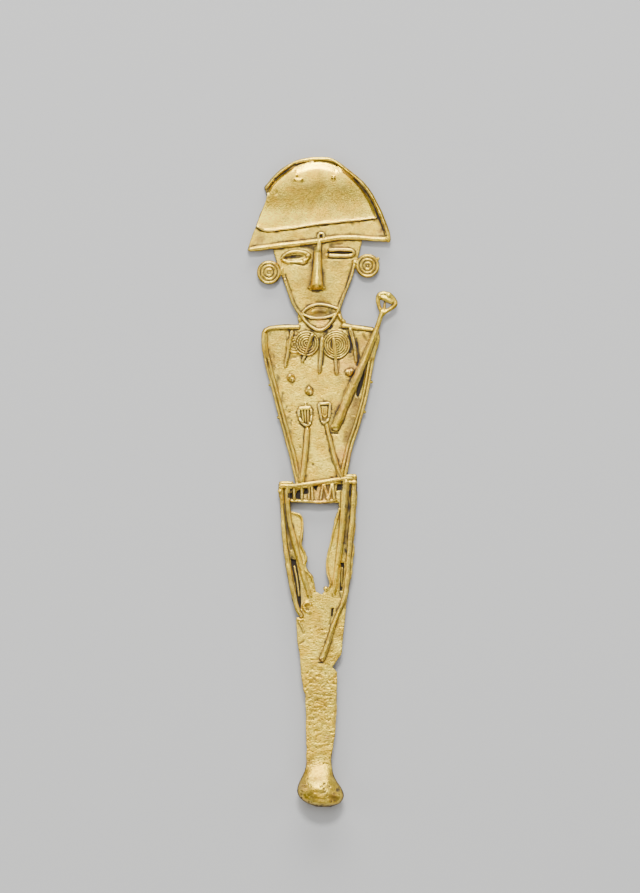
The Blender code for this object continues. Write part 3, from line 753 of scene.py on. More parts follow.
@dataclass
class Trunk:
    """The tapering body sheet with threads along its shoulders and sides."""

    shoulder_left: Route = listed((-4.0, 96.5), (-7.9, 96.5), (-9.9, 96.3), (-11.2, 95.7), (-11.7, 94.7))
    side_left: Route = listed(
        (-11.7, 92.3), (-11.2, 89.6), (-10.5, 86.6), (-9.6, 83.3), (-8.1, 77.4), (-6.4, 71.3),
        (-4.8, 64.6),
    )
    shoulder_right: Route = listed((4.4, 96.9), (10.9, 95.9), (11.7, 95.2))
    side_right: Route = listed(
        (11.9, 93.4), (10.8, 89.2), (9.6, 82.4), (8.0, 76.4), (6.5, 72.0), (5.1, 65.6),
    )
    side_thread: float = 0.58  # two of these lie side by side

    def parts(self) -> list[Part]:
        """Every part of the trunk.

        Returns:
            Parts, each sunk a little into its neighbours.
        """
        left, right = self.shoulder_left + self.side_left, self.shoulder_right + self.side_right
        outline = left + [(5.1, 65.2)] + right[-2::-1]
        nubs = [(-10.05, 84.4), (-8.3, 77.9), (10.25, 85.0), (8.9, 79.0)]
        return [
            Plate(outline, ragged=0.09, seed=111),
            Thread(inset(left[:-5], -THREAD * 0.58), (THREAD, THREAD * 0.8), seed=112),
            Thread(inset(left[4:], -0.27), self.side_thread, seed=113),
            Thread(inset(left[4:], -0.93), self.side_thread, seed=117),
            Thread(inset(right[:-4], THREAD * 0.58), (THREAD, THREAD * 0.8), seed=115),
            Thread(inset(right[2:], 0.27), self.side_thread, seed=116),
            Thread(inset(right[2:], 0.93), self.side_thread, seed=118),
        ] + [Pellet(place, 0.34, SHEET * 0.8) for place in nubs]


@dataclass
class Skirt:
    """The belt thread over a short strip with a zigzag fringe of threads."""

    belt: Route = listed((-8.1, 64.3), (-5.2, 64.3), (0.0, 65.0), (4.8, 65.7), (7.4, 66.0))
    knots: list[Route] = listed(
        [(-8.2, 64.75), (-6.9, 64.85), (-5.3, 64.85)], [(-8.2, 64.05), (-6.8, 64.15), (-5.5, 63.9)],
        [(5.0, 66.05), (6.2, 66.25), (7.3, 66.1)], [(5.6, 64.95), (7.4, 65.0)],
    )
    hem: Route = listed((4.1, 61.0), (2.0, 60.7), (-0.5, 60.7), (-3.0, 60.9), (-6.2, 61.0))
    strands: list[tuple[float, float]] = listed(
        (-5.2, -5.1), (-3.7, -3.6), (-2.3, -2.2), (-1.6, -1.5), (0.7, 0.1), (0.8, 1.6), (2.3, 1.7),
        (2.5, 2.8),
    )

    def parts(self) -> list[Part]:
        """Every part of the skirt.

        Returns:
            Parts, each sunk a little into its neighbours.
        """
        top = [(-6.4, 64.0)] + [(x, y - 0.2) for x, y in self.belt[1:-1]]
        seam = [(-6.0, 61.25), (-3.0, 61.2), (0.0, 61.05), (3.4, 61.45)]
        made: list[Part] = [
            Plate(top + self.hem, front=SHEET - 0.03, ragged=0.1, seed=121),
            Thread(self.belt, 0.72, rise=SHEET + 0.42, seed=122),
            Thread([(x, y - 0.35) for x, y in self.belt], 0.7, rise=SHEET + 0.05, seed=123),
            Thread(seam, 0.55, rise=SHEET, seed=124),
            Pellet((-8.0, 63.2), 0.45, SHEET + 0.3),
            Pellet((6.9, 66.1), 0.5, SHEET + 0.5),
        ]
        for i, knot in enumerate(self.knots):
            made.append(Thread(knot, 0.6, rise=SHEET + 0.45, seed=135 + i))
        for i, (head, foot) in enumerate(self.strands):
            strand = [(head, 64.7), (foot, 61.3)]
            made.append(Thread(strand, 0.5, rise=SHEET + 0.2, wobble=0.03, seed=125 + i))
        return made


@dataclass
class Legs:
    """Two leg sheets torn along the window between them, each with an outer and an inner thread."""

    outer_left: Route = listed(
        (-7.8, 64.2), (-7.4, 58.2), (-7.1, 53.7), (-6.4, 48.4), (-5.3, 42.7), (-4.4, 39.3), (-3.5, 38.1),
    )
    inner_left: Route = listed(
        (-6.5, 64.3), (-6.4, 58.6), (-5.3, 53.7), (-3.9, 48.6), (-2.7, 44.1), (-1.9, 41.8),
    )
    inner_right: Route = listed(
        (5.2, 65.6), (4.7, 58.2), (4.1, 52.6), (3.5, 48.4), (3.0, 44.1), (2.6, 42.3),
    )
    outer_right: Route = listed(
        (6.8, 65.8), (6.4, 58.2), (6.0, 53.7), (5.6, 48.4), (5.1, 43.0), (4.4, 40.6),
    )
    torn_left: Route = listed(
        (-5.7, 59.2), (-3.6, 58.2), (-3.2, 55.4), (-3.6, 52.6), (-2.6, 50.0), (-2.9, 48.1), (-1.3, 46.1),
        (-0.8, 43.1),
    )
    torn_right: Route = listed(
        (1.8, 43.9), (2.0, 45.0), (1.2, 47.0), (1.3, 49.8), (2.0, 52.6), (2.9, 57.4), (3.7, 59.9),
    )
    edge_left: Route = listed(
        (-8.3, 64.6), (-7.9, 58.2), (-7.6, 53.7), (-6.9, 48.4), (-6.1, 44.2), (-5.7, 42.4), (-4.9, 39.3),
        (-3.7, 38.3),
    )
    edge_right: Route = listed(
        (5.4, 41.3), (5.8, 43.3), (6.3, 46.4), (6.9, 51.4), (6.7, 52.6), (7.1, 55.9), (7.4, 62.4),
        (7.3, 65.8),
    )

    def parts(self) -> list[Part]:
        """Every part of the legs.

        Returns:
            Parts, each sunk a little into its neighbours.
        """
        left = self.edge_left + [(-0.6, 41.0)] + self.torn_left[::-1] + [(-5.7, 62.5), (-5.2, 64.6)]
        right = self.edge_right + [(4.0, 65.6), (3.8, 62.5)] + self.torn_right[::-1] + [(1.4, 41.0)]
        tapered, sinking = (LEG_THREAD * 1.4, LEG_THREAD), (SHEET + 0.35, SHEET - 0.25)
        return [
            Plate(left, ragged=0.16, seed=141),
            Plate(right, ragged=0.16, seed=142),
            Thread(self.outer_left, LEG_THREAD * 0.85, seed=143),
            Thread(self.inner_left, LEG_THREAD, rise=(SHEET + 0.32, SHEET - 0.25), seed=146),
            Thread(self.inner_right, tapered, sinking, depth=LEG_THREAD, seed=149),
            Thread(self.outer_right, LEG_THREAD * 0.85, seed=152),
            Thread(inset(self.torn_left, 0.2), 0.42, rise=SHEET, wobble=0.25, seed=155),
            Thread(inset(self.torn_right, 0.2), 0.42, rise=SHEET, wobble=0.25, seed=158),
            Pellet((1.15, 43.7), 0.55, SHEET * 0.8),
        ]


@dataclass
class Shank:
    """The notched sheet below the legs, with a loose stick, a curl and a fold of thread on it."""

    left: Route = listed(
        (-4.8, 37.8), (-4.5, 33.0), (-4.1, 31.0), (-3.6, 25.1), (-3.2, 23.1), (-2.9, 22.6), (-2.7, 10.0),
    )
    right: Route = listed(
        (2.2, 10.0), (3.0, 14.6), (3.4, 20.2), (3.4, 27.0), (2.4, 28.1), (4.2, 30.6), (4.8, 35.7),
    )
    stick: Route = listed((4.8, 41.4), (2.9, 37.1), (1.8, 33.4), (0.3, 29.3))

    def parts(self) -> list[Part]:
        """Every part of the shank.

        Returns:
            Parts, each sunk a little into its neighbours.
        """
        top = [(5.6, 43.0), (1.8, 43.9), (1.0, 43.3), (0.3, 42.6), (-0.8, 43.1), (-4.9, 39.3), (-3.7, 38.3)]
        curl = [(-1.7, 40.4), (-2.4, 41.0), (-3.3, 40.4), (-2.9, 39.3), (-1.9, 39.0)]
        outline = self.left + [(-2.55, 4.0), (2.45, 4.0)] + self.right + top
        return [
            Plate(outline, SHEET + 0.02, ragged=0.1, seed=161),
            Thread(self.stick, (0.75, 1.15), depth=0.85, wobble=0.09, seed=162),
            Thread(curl, 0.5, rise=SHEET + 0.04, seed=165),
            Thread([(-4.35, 37.3), (-3.6, 35.9), (-3.25, 34.9)], 0.42, rise=SHEET + 0.02, seed=168),
            Thread([(-4.6, 37.55), (-3.3, 37.5)], 0.45, rise=SHEET, seed=171),
        ]


@dataclass
class FootLump:
    """The rounded lump left by the pouring cup, worn flat behind where it rests on the table."""

    width: float = 9.5
    depth: float = 6.6
    flat: float = 0.2
    # Heights, with the left and right reach as shares of the width, and the share of the depth
    shape: list[tuple[float, float, float, float]] = listed(
        (14.5, -0.275, 0.300, 0.15), (9.6, -0.280, 0.240, 0.17), (8.4, -0.295, 0.252, 0.20),
        (7.6, -0.318, 0.265, 0.28), (6.8, -0.355, 0.280, 0.43), (6.0, -0.398, 0.315, 0.62),
        (5.2, -0.438, 0.362, 0.79), (4.4, -0.470, 0.425, 0.92), (3.4, -0.490, 0.480, 1.00),
        (2.5, -0.460, 0.510, 0.98), (1.6, -0.395, 0.480, 0.87), (0.8, -0.240, 0.400, 0.64),
        (0.2, -0.080, 0.220, 0.34),
    )

    def reach(self, y: np.ndarray, column: int, rounds: int) -> np.ndarray:
        """One column of the shape between its rows, eased by weighting each step with its two neighbours.

        Args:
            y: heights.
            column: which column.
            rounds: how many times to ease.

        Returns:
            One value for each height.
        """
        rows = np.array(self.shape)[::-1]
        values = np.interp(y, rows[:, 0], rows[:, column])
        for _ in range(rounds):
            values[1:-1] = 0.25 * values[:-2] + 0.5 * values[1:-1] + 0.25 * values[2:]
        return values

    def parts(self) -> list[Part]:
        """The lump: ovals round the figure's length, with a slow uneven swell, cut off level behind where it
        rests.

        Returns:
            One closed mesh.
        """
        bottom, top = self.shape[-1][0], self.shape[0][0]
        y = np.concatenate([np.linspace(bottom, 1.0, 8)[:-1], np.linspace(1.0, top, 56)])
        left, right, deep = self.reach(y, 1, 2), self.reach(y, 2, 2), self.reach(y, 3, 8)
        middle = self.depth / 2 - LUMP_BEHIND - self.flat
        centre = SHEET / 2 + (middle - SHEET / 2) * np.clip((deep - 0.15) / 0.6, 0.0, 1.0)
        angle = (np.arange(48) + 0.5)[None, :] * math.tau / 48
        x = ((left + right)[:, None] + (right - left)[:, None] * np.cos(angle)) * self.width / 2
        z = centre[:, None] + np.sin(angle) * deep[:, None] * self.depth / 2
        places = np.column_stack([x.ravel(), (y[:, None] + 0 * angle).ravel(), z.ravel()])
        swell = 0.2 * value_noise(places, 1.5, 181).reshape(x.shape)
        z = np.maximum(z + swell * np.sin(angle) * soft_step(9.0, 6.0, y)[:, None], -body_lift(y)[:, None])
        return [loft(np.stack([x, y[:, None] + 0 * angle, z], axis=-1))]


def body_lift(y: np.ndarray) -> np.ndarray:
    """How far the tilted body stands above its drawing: nothing above the neck, then straight up to the lump.

    Args:
        y: places along the figure, in mm.

    Returns:
        Height in mm at each place.
    """
    return LUMP_BEHIND * np.maximum(0.0, NECK_Y - y) / (NECK_Y - LUMP_REST_Y)


@dataclass(frozen=True)
class Trace:
    """A line along which the surface differs: half its width in mm, how strongly, and how wide it fades."""

    route: tuple[Point, ...]
    half: float = 0.14
    strength: float = 0.9
    fade: float = 0.12


@dataclass(frozen=True)
class Patch:
    """A round place where the surface differs, fading out over its radius."""

    x: float
    y: float
    radius: float
    strength: float = 0.9


@dataclass(frozen=True)
class Stretch:
    """A length of the figure that was left in one way, and how far each of its ends fades."""

    surface: Surface
    foot: float
    head: float
    fade: float = 3.0

    def share(self, y: np.ndarray) -> np.ndarray:
        """How much each place belongs to the stretch.

        Args:
            y: places along the figure.

        Returns:
            One inside the stretch and nothing outside it.
        """
        half = self.fade / 2
        above = soft_step(self.foot - half, self.foot + half, y)
        return above * soft_step(self.head + half, self.head - half, y)


@dataclass
class Skin:
    """Points of the skin as the marks read them."""

    points: np.ndarray
    x: np.ndarray  # places on the front, shifted a little by noise so that lines and patches aren't ruled
    y: np.ndarray
    near: np.ndarray  # how far each point lies below the front eased over a short distance
    wide: np.ndarray  # and over a long one
    fine: np.ndarray  # two noises
    slow: np.ndarray


@dataclass
class WorkedSurface:
    """What the tools, the mould and the soil did to the skin, with painted shade and painted highlight, as
    fields over the drawing's front.
    """

    discs: list[RingedDisc]
    stretches: list[Stretch] = listed(
        Stretch(Surface.RUBBED, -9.0, 7.2, 2.5), Stretch(Surface.PITTED, 7.2, 38.5, 4.5),
        Stretch(Surface.CAST_SKIN, 38.5, 97.5), Stretch(Surface.RUBBED, 97.5, 115.0),
        Stretch(Surface.BURNISHED, 115.0, 140.0, 3.5),
    )
    # How much of a burnisher's polish each way of leaving the surface has
    polish: dict[Surface, float] = field(
        default_factory=lambda: {
            Surface.BURNISHED: 1.0, Surface.RUBBED: 0.2, Surface.CAST_SKIN: 0.0, Surface.PITTED: 0.0,
        }
    )
    cell: float = 0.08  # mm, the height map's grid
    low: Point = (-17.0, -2.0)
    size: tuple[int, int] = (432, 1690)
    map_reaches: Point = (0.2, 0.8)  # mm, over which the two height maps are eased
    # Noises, in mm where they are heights
    slow_waves: Layers = ((0.045, 5.3, 1), (0.018, 2.1, 2))
    clay_grain: Layers = ((0.01, 0.8, 3), (0.014, 0.34, 4))
    wander_x: Layers = ((0.09, 0.7, 13), (0.06, 0.3, 15))
    wander_y: Layers = ((0.09, 0.7, 14), (0.06, 0.3, 16))
    fine_blots: Layers = ((0.6, 0.55, 8), (0.4, 2.7, 9))
    slow_blots: Layers = ((0.6, 1.1, 10), (0.4, 3.6, 11))
    brown_film: Layers = ((1.0, 1.9, 18), (0.6, 0.7, 19))
    # Pits: how many, half the width they lie in, their two bounds along the figure, or mean and spread where
    # the last value is true, and their smallest and largest radius
    pit_fields: list[tuple[int, float, Point, Point, bool]] = listed(
        (120, 3.1, (22.0, 3.6), (0.09, 0.2), True), (110, 2.8, (8.5, 36.0), (0.08, 0.17), False),
        (34, 4.0, (0.8, 5.0), (0.12, 0.26), False), (120, 9.0, (38.0, 97.0), (0.07, 0.15), False),
    )
    pit_seed: int = 41
    pit_depth: float = 0.55  # as a share of the radius
    groove_depth: float = 0.07  # of the lines of soil, in mm
    # Where a mark starts and where it is full: in mm below the eased front or inside an outline, or as a
    # value of a noise or of a normal
    front_onset: Point = (-0.35, 0.1)
    crevice_onset: Point = (0.05, 0.15)
    sunk_onset: Point = (-0.1, -0.01)
    dot_onset: Point = (-0.05, 0.25)
    pocket_onset: Point = (-0.16, 0.04)
    pit_onset: Point = (0.035, 0.08)
    film_onset: Point = (0.0, 1.1)
    hollow_onset: Point = (0.1, 0.45)
    groove_onset: Point = (0.025, 0.11)
    ridge_onset: Point = (0.03, 0.19)
    # Sunken places between threads, each with its depth in mm
    pockets: list[tuple[Route, float]] = listed(
        ([(-5.9, 49.7), (-4.85, 49.5), (-4.4, 47.2), (-3.95, 44.3), (-3.8, 41.9), (-3.9, 39.9),
          (-4.25, 40.3), (-4.5, 41.6), (-4.85, 43.9), (-5.3, 46.1), (-5.7, 48.3)], 0.7),
        ([(4.3, 48.8), (4.85, 48.8), (4.7, 46.0), (4.4, 43.3), (3.95, 43.3), (4.05, 46.0)], 0.7),
        ([(8.75, 87.3), (8.95, 86.6), (8.5, 84.6), (8.05, 83.0), (7.6, 81.9), (7.3, 82.3), (7.25, 83.2),
          (7.7, 84.7), (8.3, 86.2)], 0.55),
        ([(-6.9, 109.8), (-5.6, 110.3), (-4.2, 110.4), (-3.2, 110.1), (-4.4, 109.75),
          (-5.9, 109.6)], 0.3),
        ([(-6.4, 61.8), (-5.55, 61.7), (-5.6, 62.9), (-6.3, 62.7)], 0.6),
        ([(-4.95, 61.7), (-3.85, 61.6), (-3.9, 63.4), (-4.6, 63.2)], 0.6),
        ([(-3.3, 62.6), (-2.3, 62.7), (-2.35, 63.7), (-3.1, 63.6)], 0.6),
        ([(-1.4, 64.1), (-0.4, 64.3), (-0.8, 63.2)], 0.45),
        ([(3.3, 63.3), (4.5, 63.4), (4.6, 64.6), (3.5, 64.5)], 0.6),
        ([(2.3, 39.7), (2.75, 39.9), (2.5, 38.2), (2.2, 38.2)], 0.4),
    )
    # Threads that lie at the bottom of the two leg slots
    slivers: list[Trace] = listed(
        Trace(((-5.1, 48.1), (-4.68, 46.1), (-4.38, 43.9), (-4.2, 42.3)), 0.15, 0.45, 0.08),
        Trace(((4.42, 47.9), (4.3, 44.3)), 0.13, 0.42, 0.08),
    )
    # Lines of black soil and painted shade, darkening the roots of threads and the places under ledges
    soil_and_shade_lines: list[Trace] = listed(
        # hat
        Trace(((-9.2, 125.4), (-7.1, 127.05), (-4.9, 128.65)), 0.13, 1.0),
        Trace(((6.7, 125.75), (8.2, 124.45), (9.5, 122.7), (10.75, 120.3), (11.4, 118.6)), 0.15, 1.0),
        Trace(((11.4, 118.6), (12.0, 117.3), (12.75, 115.4), (13.15, 114.3)), 0.24, 1.0),
        Trace(((-12.3, 115.7), (-10.7, 115.0), (-8.9, 115.15)), 0.14, 0.95),
        Trace(((-8.9, 115.15), (-6.0, 115.4), (-2.5, 115.85)), 0.07, 0.8),
        Trace(((0.3, 116.25), (1.5, 116.4)), 0.2, 0.9), Trace(((3.4, 116.6), (5.0, 116.8)), 0.1, 0.7),
        Trace(((8.2, 117.1), (10.6, 117.4)), 0.08, 0.5),
        Trace(((2.0, 112.45), (4.4, 112.7)), 0.12, 0.7, 0.3),
        Trace(((-3.6, 112.1), (-1.9, 112.0), (-1.0, 111.6)), 0.36, 0.85, 0.3),
        Trace(((-9.0, 111.9), (-6.6, 112.0)), 0.12, 0.4),
        # eyes and mouth
        Trace(((1.5, 110.85), (4.1, 110.87), (6.3, 110.85)), 0.16, 1.0),
        Trace(((1.5, 109.7), (3.8, 109.6), (6.3, 109.75)), 0.14, 0.7),
        Trace(((-6.8, 109.8), (-5.4, 110.1), (-3.7, 110.1)), 0.24, 1.0),
        Trace(((-5.9, 108.7), (-4.4, 108.5), (-3.3, 108.3), (-2.5, 108.7)), 0.14, 0.8),
        Trace(((-2.6, 99.6), (-1.7, 100.0)), 0.12, 0.7),
        Trace(((-0.8, 101.0), (0.5, 101.05), (2.2, 100.6)), 0.08, 0.55),
        Trace(((1.3, 97.6), (2.4, 97.8)), 0.12, 0.8), Trace(((-1.6, 97.45), (0.4, 97.4)), 0.08, 0.5),
        Trace(((-1.5, 103.0), (-0.2, 102.95)), 0.14, 0.75),
        # face edges
        Trace(((-6.9, 106.4), (-6.4, 104.6), (-5.8, 102.8)), 0.13, 0.95),
        Trace(((-4.6, 99.7), (-3.4, 97.7)), 0.14, 0.8),
        Trace(((6.4, 108.1), (5.7, 105.9), (4.9, 103.0)), 0.13, 0.85),
        Trace(((4.9, 103.0), (4.2, 100.6)), 0.1, 0.6),
        # necklace
        Trace(((-1.35, 94.0), (-1.25, 93.0), (-1.45, 92.4)), 0.26, 1.0),
        Trace(((-1.45, 92.6), (-2.1, 91.2), (-3.0, 89.4)), 0.14, 1.0),
        Trace(((5.3, 95.7), (5.85, 94.8), (6.2, 93.5), (6.3, 92.0), (6.05, 91.0)), 0.34, 1.0),
        Trace(((7.25, 93.6), (7.6, 91.6), (7.8, 90.0), (7.45, 88.4)), 0.22, 1.0),
        Trace(((0.9, 91.7), (1.4, 90.5), (2.3, 89.65), (3.0, 89.4)), 0.2, 0.95),
        Trace(((3.6, 89.4), (4.5, 89.8), (5.4, 90.7)), 0.16, 0.8),
        Trace(((2.3, 96.1), (1.5, 95.4), (0.9, 94.6)), 0.34, 1.0),
        Trace(((3.9, 95.75), (5.6, 95.5)), 0.22, 1.0), Trace(((-4.3, 79.0), (-3.9, 77.3)), 0.05, 0.6),
        Trace(((-3.3, 79.4), (-3.1, 77.0)), 0.09, 0.9), Trace(((-2.7, 79.4), (-2.65, 77.0)), 0.09, 0.9),
        Trace(((-3.85, 79.3), (-3.5, 77.3)), 0.09, 0.85), Trace(((-2.15, 79.4), (-2.2, 77.3)), 0.08, 0.8),
        Trace(((0.2, 78.9), (0.9, 78.2), (1.5, 78.9)), 0.07, 0.5),
        Trace(((-4.2, 76.6), (-3.0, 75.7), (-1.9, 76.1)), 0.08, 0.6),
        Trace(((0.0, 77.6), (0.7, 76.3), (1.5, 76.9)), 0.08, 0.6),
        Trace(((-5.6, 89.8), (-4.4, 90.2), (-3.2, 90.2), (-1.3, 90.9)), 0.16, 0.8),
        Trace(((0.75, 91.8), (0.7, 90.0), (0.65, 88.3)), 0.12, 0.9),
        Trace(((-0.25, 90.9), (-0.4, 89.0)), 0.1, 0.6), Trace(((2.25, 93.4), (2.25, 92.0)), 0.15, 0.9),
        Trace(((3.55, 92.6), (3.75, 90.2), (3.9, 87.6)), 0.09, 0.7),
        Trace(((-6.75, 94.6), (-6.6, 92.0), (-7.3, 88.6)), 0.1, 0.55),
        Trace(((-6.3, 95.6), (-5.9, 94.6)), 0.22, 0.95), Trace(((0.1, 94.2), (-0.2, 92.6)), 0.12, 0.8),
        # trunk
        Trace(((8.6, 94.6), (9.2, 93.4)), 0.2, 0.8),
        Trace(((11.0, 93.0), (8.9, 87.0), (7.2, 82.9), (5.3, 78.9), (3.7, 75.1)), 0.1, 0.75),
        Trace(((2.3, 74.8), (3.5, 74.7)), 0.16, 0.95),
        Trace(((1.15, 75.3), (2.4, 70.2), (3.3, 67.3), (4.1, 65.9)), 0.11, 0.8),
        Trace(((-2.0, 75.2), (-2.5, 70.5), (-3.05, 66.6)), 0.09, 0.6),
        Trace(((-4.4, 68.9), (-4.25, 65.8)), 0.14, 0.75),
        Trace(((9.5, 92.2), (7.9, 87.9), (6.2, 84.2)), 0.08, 0.45),
        Trace(((-10.95, 91.0), (-10.3, 87.6), (-9.0, 83.1), (-7.55, 77.4), (-5.85, 71.2),
          (-4.6, 66.0)), 0.07, 0.85),
        Trace(((11.1, 92.3), (10.2, 89.1), (9.0, 82.6), (7.4, 76.6), (5.9, 72.2),
          (4.9, 67.6)), 0.07, 0.85),
        Trace(((-10.6, 95.35), (-8.5, 95.6), (-6.8, 95.65)), 0.12, 0.55),
        Trace(((7.7, 95.4), (9.6, 95.1)), 0.12, 0.65),
        # legs
        Trace(((-7.1, 60.5), (-6.5, 55.3), (-5.75, 51.6)), 0.22, 0.8),
        Trace(((-5.6, 49.9), (-5.1, 49.4)), 0.3, 0.9),
        Trace(((6.0, 64.0), (5.6, 58.0), (5.0, 52.2)), 0.16, 0.55),
        Trace(((5.6, 63.0), (5.2, 57.0), (4.75, 52.5)), 0.1, 0.6),
        Trace(((3.9, 43.2), (4.1, 41.9)), 0.14, 0.9), Trace(((-4.3, 41.2), (-3.9, 39.8)), 0.16, 0.9),
        Trace(((2.35, 38.4), (1.9, 36.6)), 0.12, 0.8),
        Trace(((2.6, 35.4), (1.6, 32.2), (0.9, 29.6)), 0.1, 0.75),
        Trace(((-0.3, 28.95), (0.7, 28.9)), 0.14, 0.95), Trace(((-4.3, 37.0), (-3.4, 34.9)), 0.1, 0.65),
        Trace(((-2.7, 39.9), (-2.3, 39.5)), 0.16, 0.8), Trace(((-4.0, 32.75), (-3.2, 33.2)), 0.12, 0.75),
        Trace(((3.3, 22.5), (3.15, 19.8), (2.8, 16.0)), 0.12, 0.6),
        Trace(((-1.4, 25.9), (-0.6, 25.1)), 0.1, 0.7),
    )
    # Lines of soil and painted shade that come and go
    dotted_lines: list[Trace] = listed(
        Trace(((-9.2, 90.0), (-8.0, 84.0), (-6.7, 79.4), (-5.6, 75.0)), 0.34, 0.8, 0.3),
        Trace(((-9.9, 94.9), (-9.7, 91.0), (-8.8, 87.0)), 0.2, 0.6, 0.3),
        Trace(((6.1, 64.0), (5.65, 58.0), (5.05, 50.4)), 0.34, 1.0),
        Trace(((5.4, 63.4), (5.1, 57.4), (4.7, 50.6)), 0.14, 0.9),
        Trace(((3.9, 81.8), (3.1, 79.4), (2.2, 77.6)), 0.25, 0.6),
        Trace(((6.4, 108.1), (5.0, 103.0), (4.1, 100.4)), 0.12, 0.9),
        Trace(((1.3, 109.4), (1.25, 106.5)), 0.08, 0.6), Trace(((-3.1, 40.8), (-1.0, 41.5)), 0.2, 0.5),
    )
    # Round places of black soil and painted shade in recesses
    soil_and_shade_patches: list[Patch] = listed(
        Patch(6.0, 85.2, 0.42, 1.0), Patch(-2.75, 66.2, 0.42, 1.0), Patch(-1.4, 68.5, 0.22, 1.0),
        Patch(-8.7, 122.7, 0.14, 0.7), Patch(7.85, 83.6, 0.6, 1.0), Patch(-2.3, 103.6, 0.16, 0.8),
        Patch(-6.1, 89.7, 0.3, 0.9), Patch(12.75, 101.0, 0.34, 1.0), Patch(13.75, 100.2, 0.3, 1.0),
        Patch(0.8, 24.2, 0.16), Patch(-0.5, 21.5, 0.2), Patch(-1.7, 17.6, 0.18), Patch(-0.8, 13.6, 0.16),
        Patch(-0.75, 12.0, 0.18), Patch(-1.5, 11.2, 0.14), Patch(-2.6, 84.0, 0.16, 0.7),
        Patch(0.3, 3.1, 0.2, 0.8), Patch(-3.7, 2.8, 0.24, 0.9), Patch(3.6, 3.7, 0.4, 0.9),
        Patch(1.1, 2.0, 0.16, 0.7), Patch(-2.3, 98.7, 0.3, 0.6), Patch(-6.9, 105.2, 0.2, 0.7),
        Patch(1.4, 92.8, 0.2, 0.7), Patch(0.1, 99.1, 1.5, 0.35), Patch(10.0, 95.0, 0.3, 0.9),
        Patch(2.3, 112.3, 0.6, 0.95), Patch(2.1, 99.0, 0.6, 0.95), Patch(-1.5, 111.7, 0.5, 0.7),
        Patch(-6.1, 79.0, 0.22, 0.9), Patch(-6.6, 80.1, 0.18, 0.8), Patch(-5.7, 77.3, 0.2, 0.8),
        Patch(-7.3, 82.6, 0.18, 0.7), Patch(-3.9, 71.9, 0.2, 0.6), Patch(-0.2, 3.3, 0.14, 0.8),
        Patch(1.6, 4.5, 0.16, 0.8), Patch(-2.6, 5.9, 0.14, 0.7), Patch(2.2, 6.4, 0.14, 0.7),
        Patch(-1.5, 2.2, 0.16, 0.8), Patch(3.0, 1.6, 0.2, 0.8),
    )
    # Brown tarnish and painted shade: places and lines; the broad lines on the crown paint a darker
    # reflection below its highlight, and the lines beside the nose and the patches under it paint its shade
    tarnish_and_shade_patches: list[Patch] = listed(
        Patch(-11.1, 121.8, 0.7, 0.9), Patch(2.0, 105.0, 1.2, 0.4), Patch(-3.2, 105.2, 1.3, 0.5),
        Patch(-3.4, 107.6, 0.9, 0.4), Patch(3.2, 108.6, 1.6, 0.4), Patch(1.6, 102.2, 1.2, 0.5),
        Patch(-2.0, 102.2, 1.1, 0.5), Patch(7.5, 119.6, 1.6, 0.3), Patch(-11.9, 113.6, 1.0, 0.8),
        Patch(12.2, 115.4, 0.9, 0.7), Patch(-0.3, 101.9, 1.9, 0.75), Patch(-8.9, 91.0, 2.8, 0.5),
        Patch(-9.6, 94.6, 1.2, 0.5), Patch(8.6, 92.5, 2.0, 0.45), Patch(-4.9, 92.4, 1.4, 0.6),
        Patch(3.4, 79.0, 1.5, 0.55), Patch(6.5, 77.0, 2.4, 0.5), Patch(7.4, 82.2, 0.7, 0.8),
        Patch(-5.8, 85.2, 0.7, 0.5), Patch(6.1, 90.3, 0.9, 0.9), Patch(-9.6, 88.0, 2.2, 0.5),
        Patch(-8.6, 93.5, 2.0, 0.5), Patch(-1.9, 82.9, 0.6, 0.5), Patch(0.0, 22.0, 3.2, 0.35),
        Patch(1.6, 14.0, 0.9, 0.6), Patch(2.7, 2.4, 0.9, 0.6), Patch(-3.6, 3.9, 0.7, 0.6),
        Patch(0.4, 1.4, 0.9, 0.4), Patch(3.2, 5.2, 0.6, 0.5), Patch(-2.4, 6.9, 0.5, 0.5),
        Patch(0.9, 3.2, 0.5, 0.6), Patch(-1.9, 2.9, 0.5, 0.5), Patch(0.2, 98.9, 1.7, 0.95),
        Patch(-5.3, 63.6, 1.0, 0.5), Patch(13.0, 100.4, 1.0, 0.5),
    )
    tarnish_and_shade_lines: list[Trace] = listed(
        Trace(((-5.4, 123.4), (-0.5, 124.2), (4.6, 123.4)), 0.3, 0.65, 2.8),
        Trace(((-8.6, 121.6), (-1.0, 121.2), (6.6, 120.6)), 0.3, 0.35, 3.4),
        Trace(((7.4, 81.5), (6.2, 77.3), (5.3, 73.4)), 0.6, 0.95, 0.8),
        Trace(((-1.7, 111.4), (-1.9, 107.0), (-2.4, 103.9)), 0.36, 0.85, 0.5),
        Trace(((0.9, 111.4), (0.85, 107.0), (1.0, 103.9)), 0.32, 0.75, 0.5),
        Trace(((-10.3, 94.5), (-9.9, 89.0), (-8.6, 82.5), (-6.9, 76.0)), 0.4, 0.35, 0.5),
        Trace(((6.0, 64.5), (5.4, 57.8), (4.9, 50.5)), 0.45, 0.7, 0.5),
        Trace(((-7.0, 60.5), (-6.2, 55.0), (-5.6, 50.5)), 0.35, 0.6, 0.5),
        Trace(((-5.6, 46.0), (-4.7, 41.5)), 0.4, 0.5, 0.5),
    )
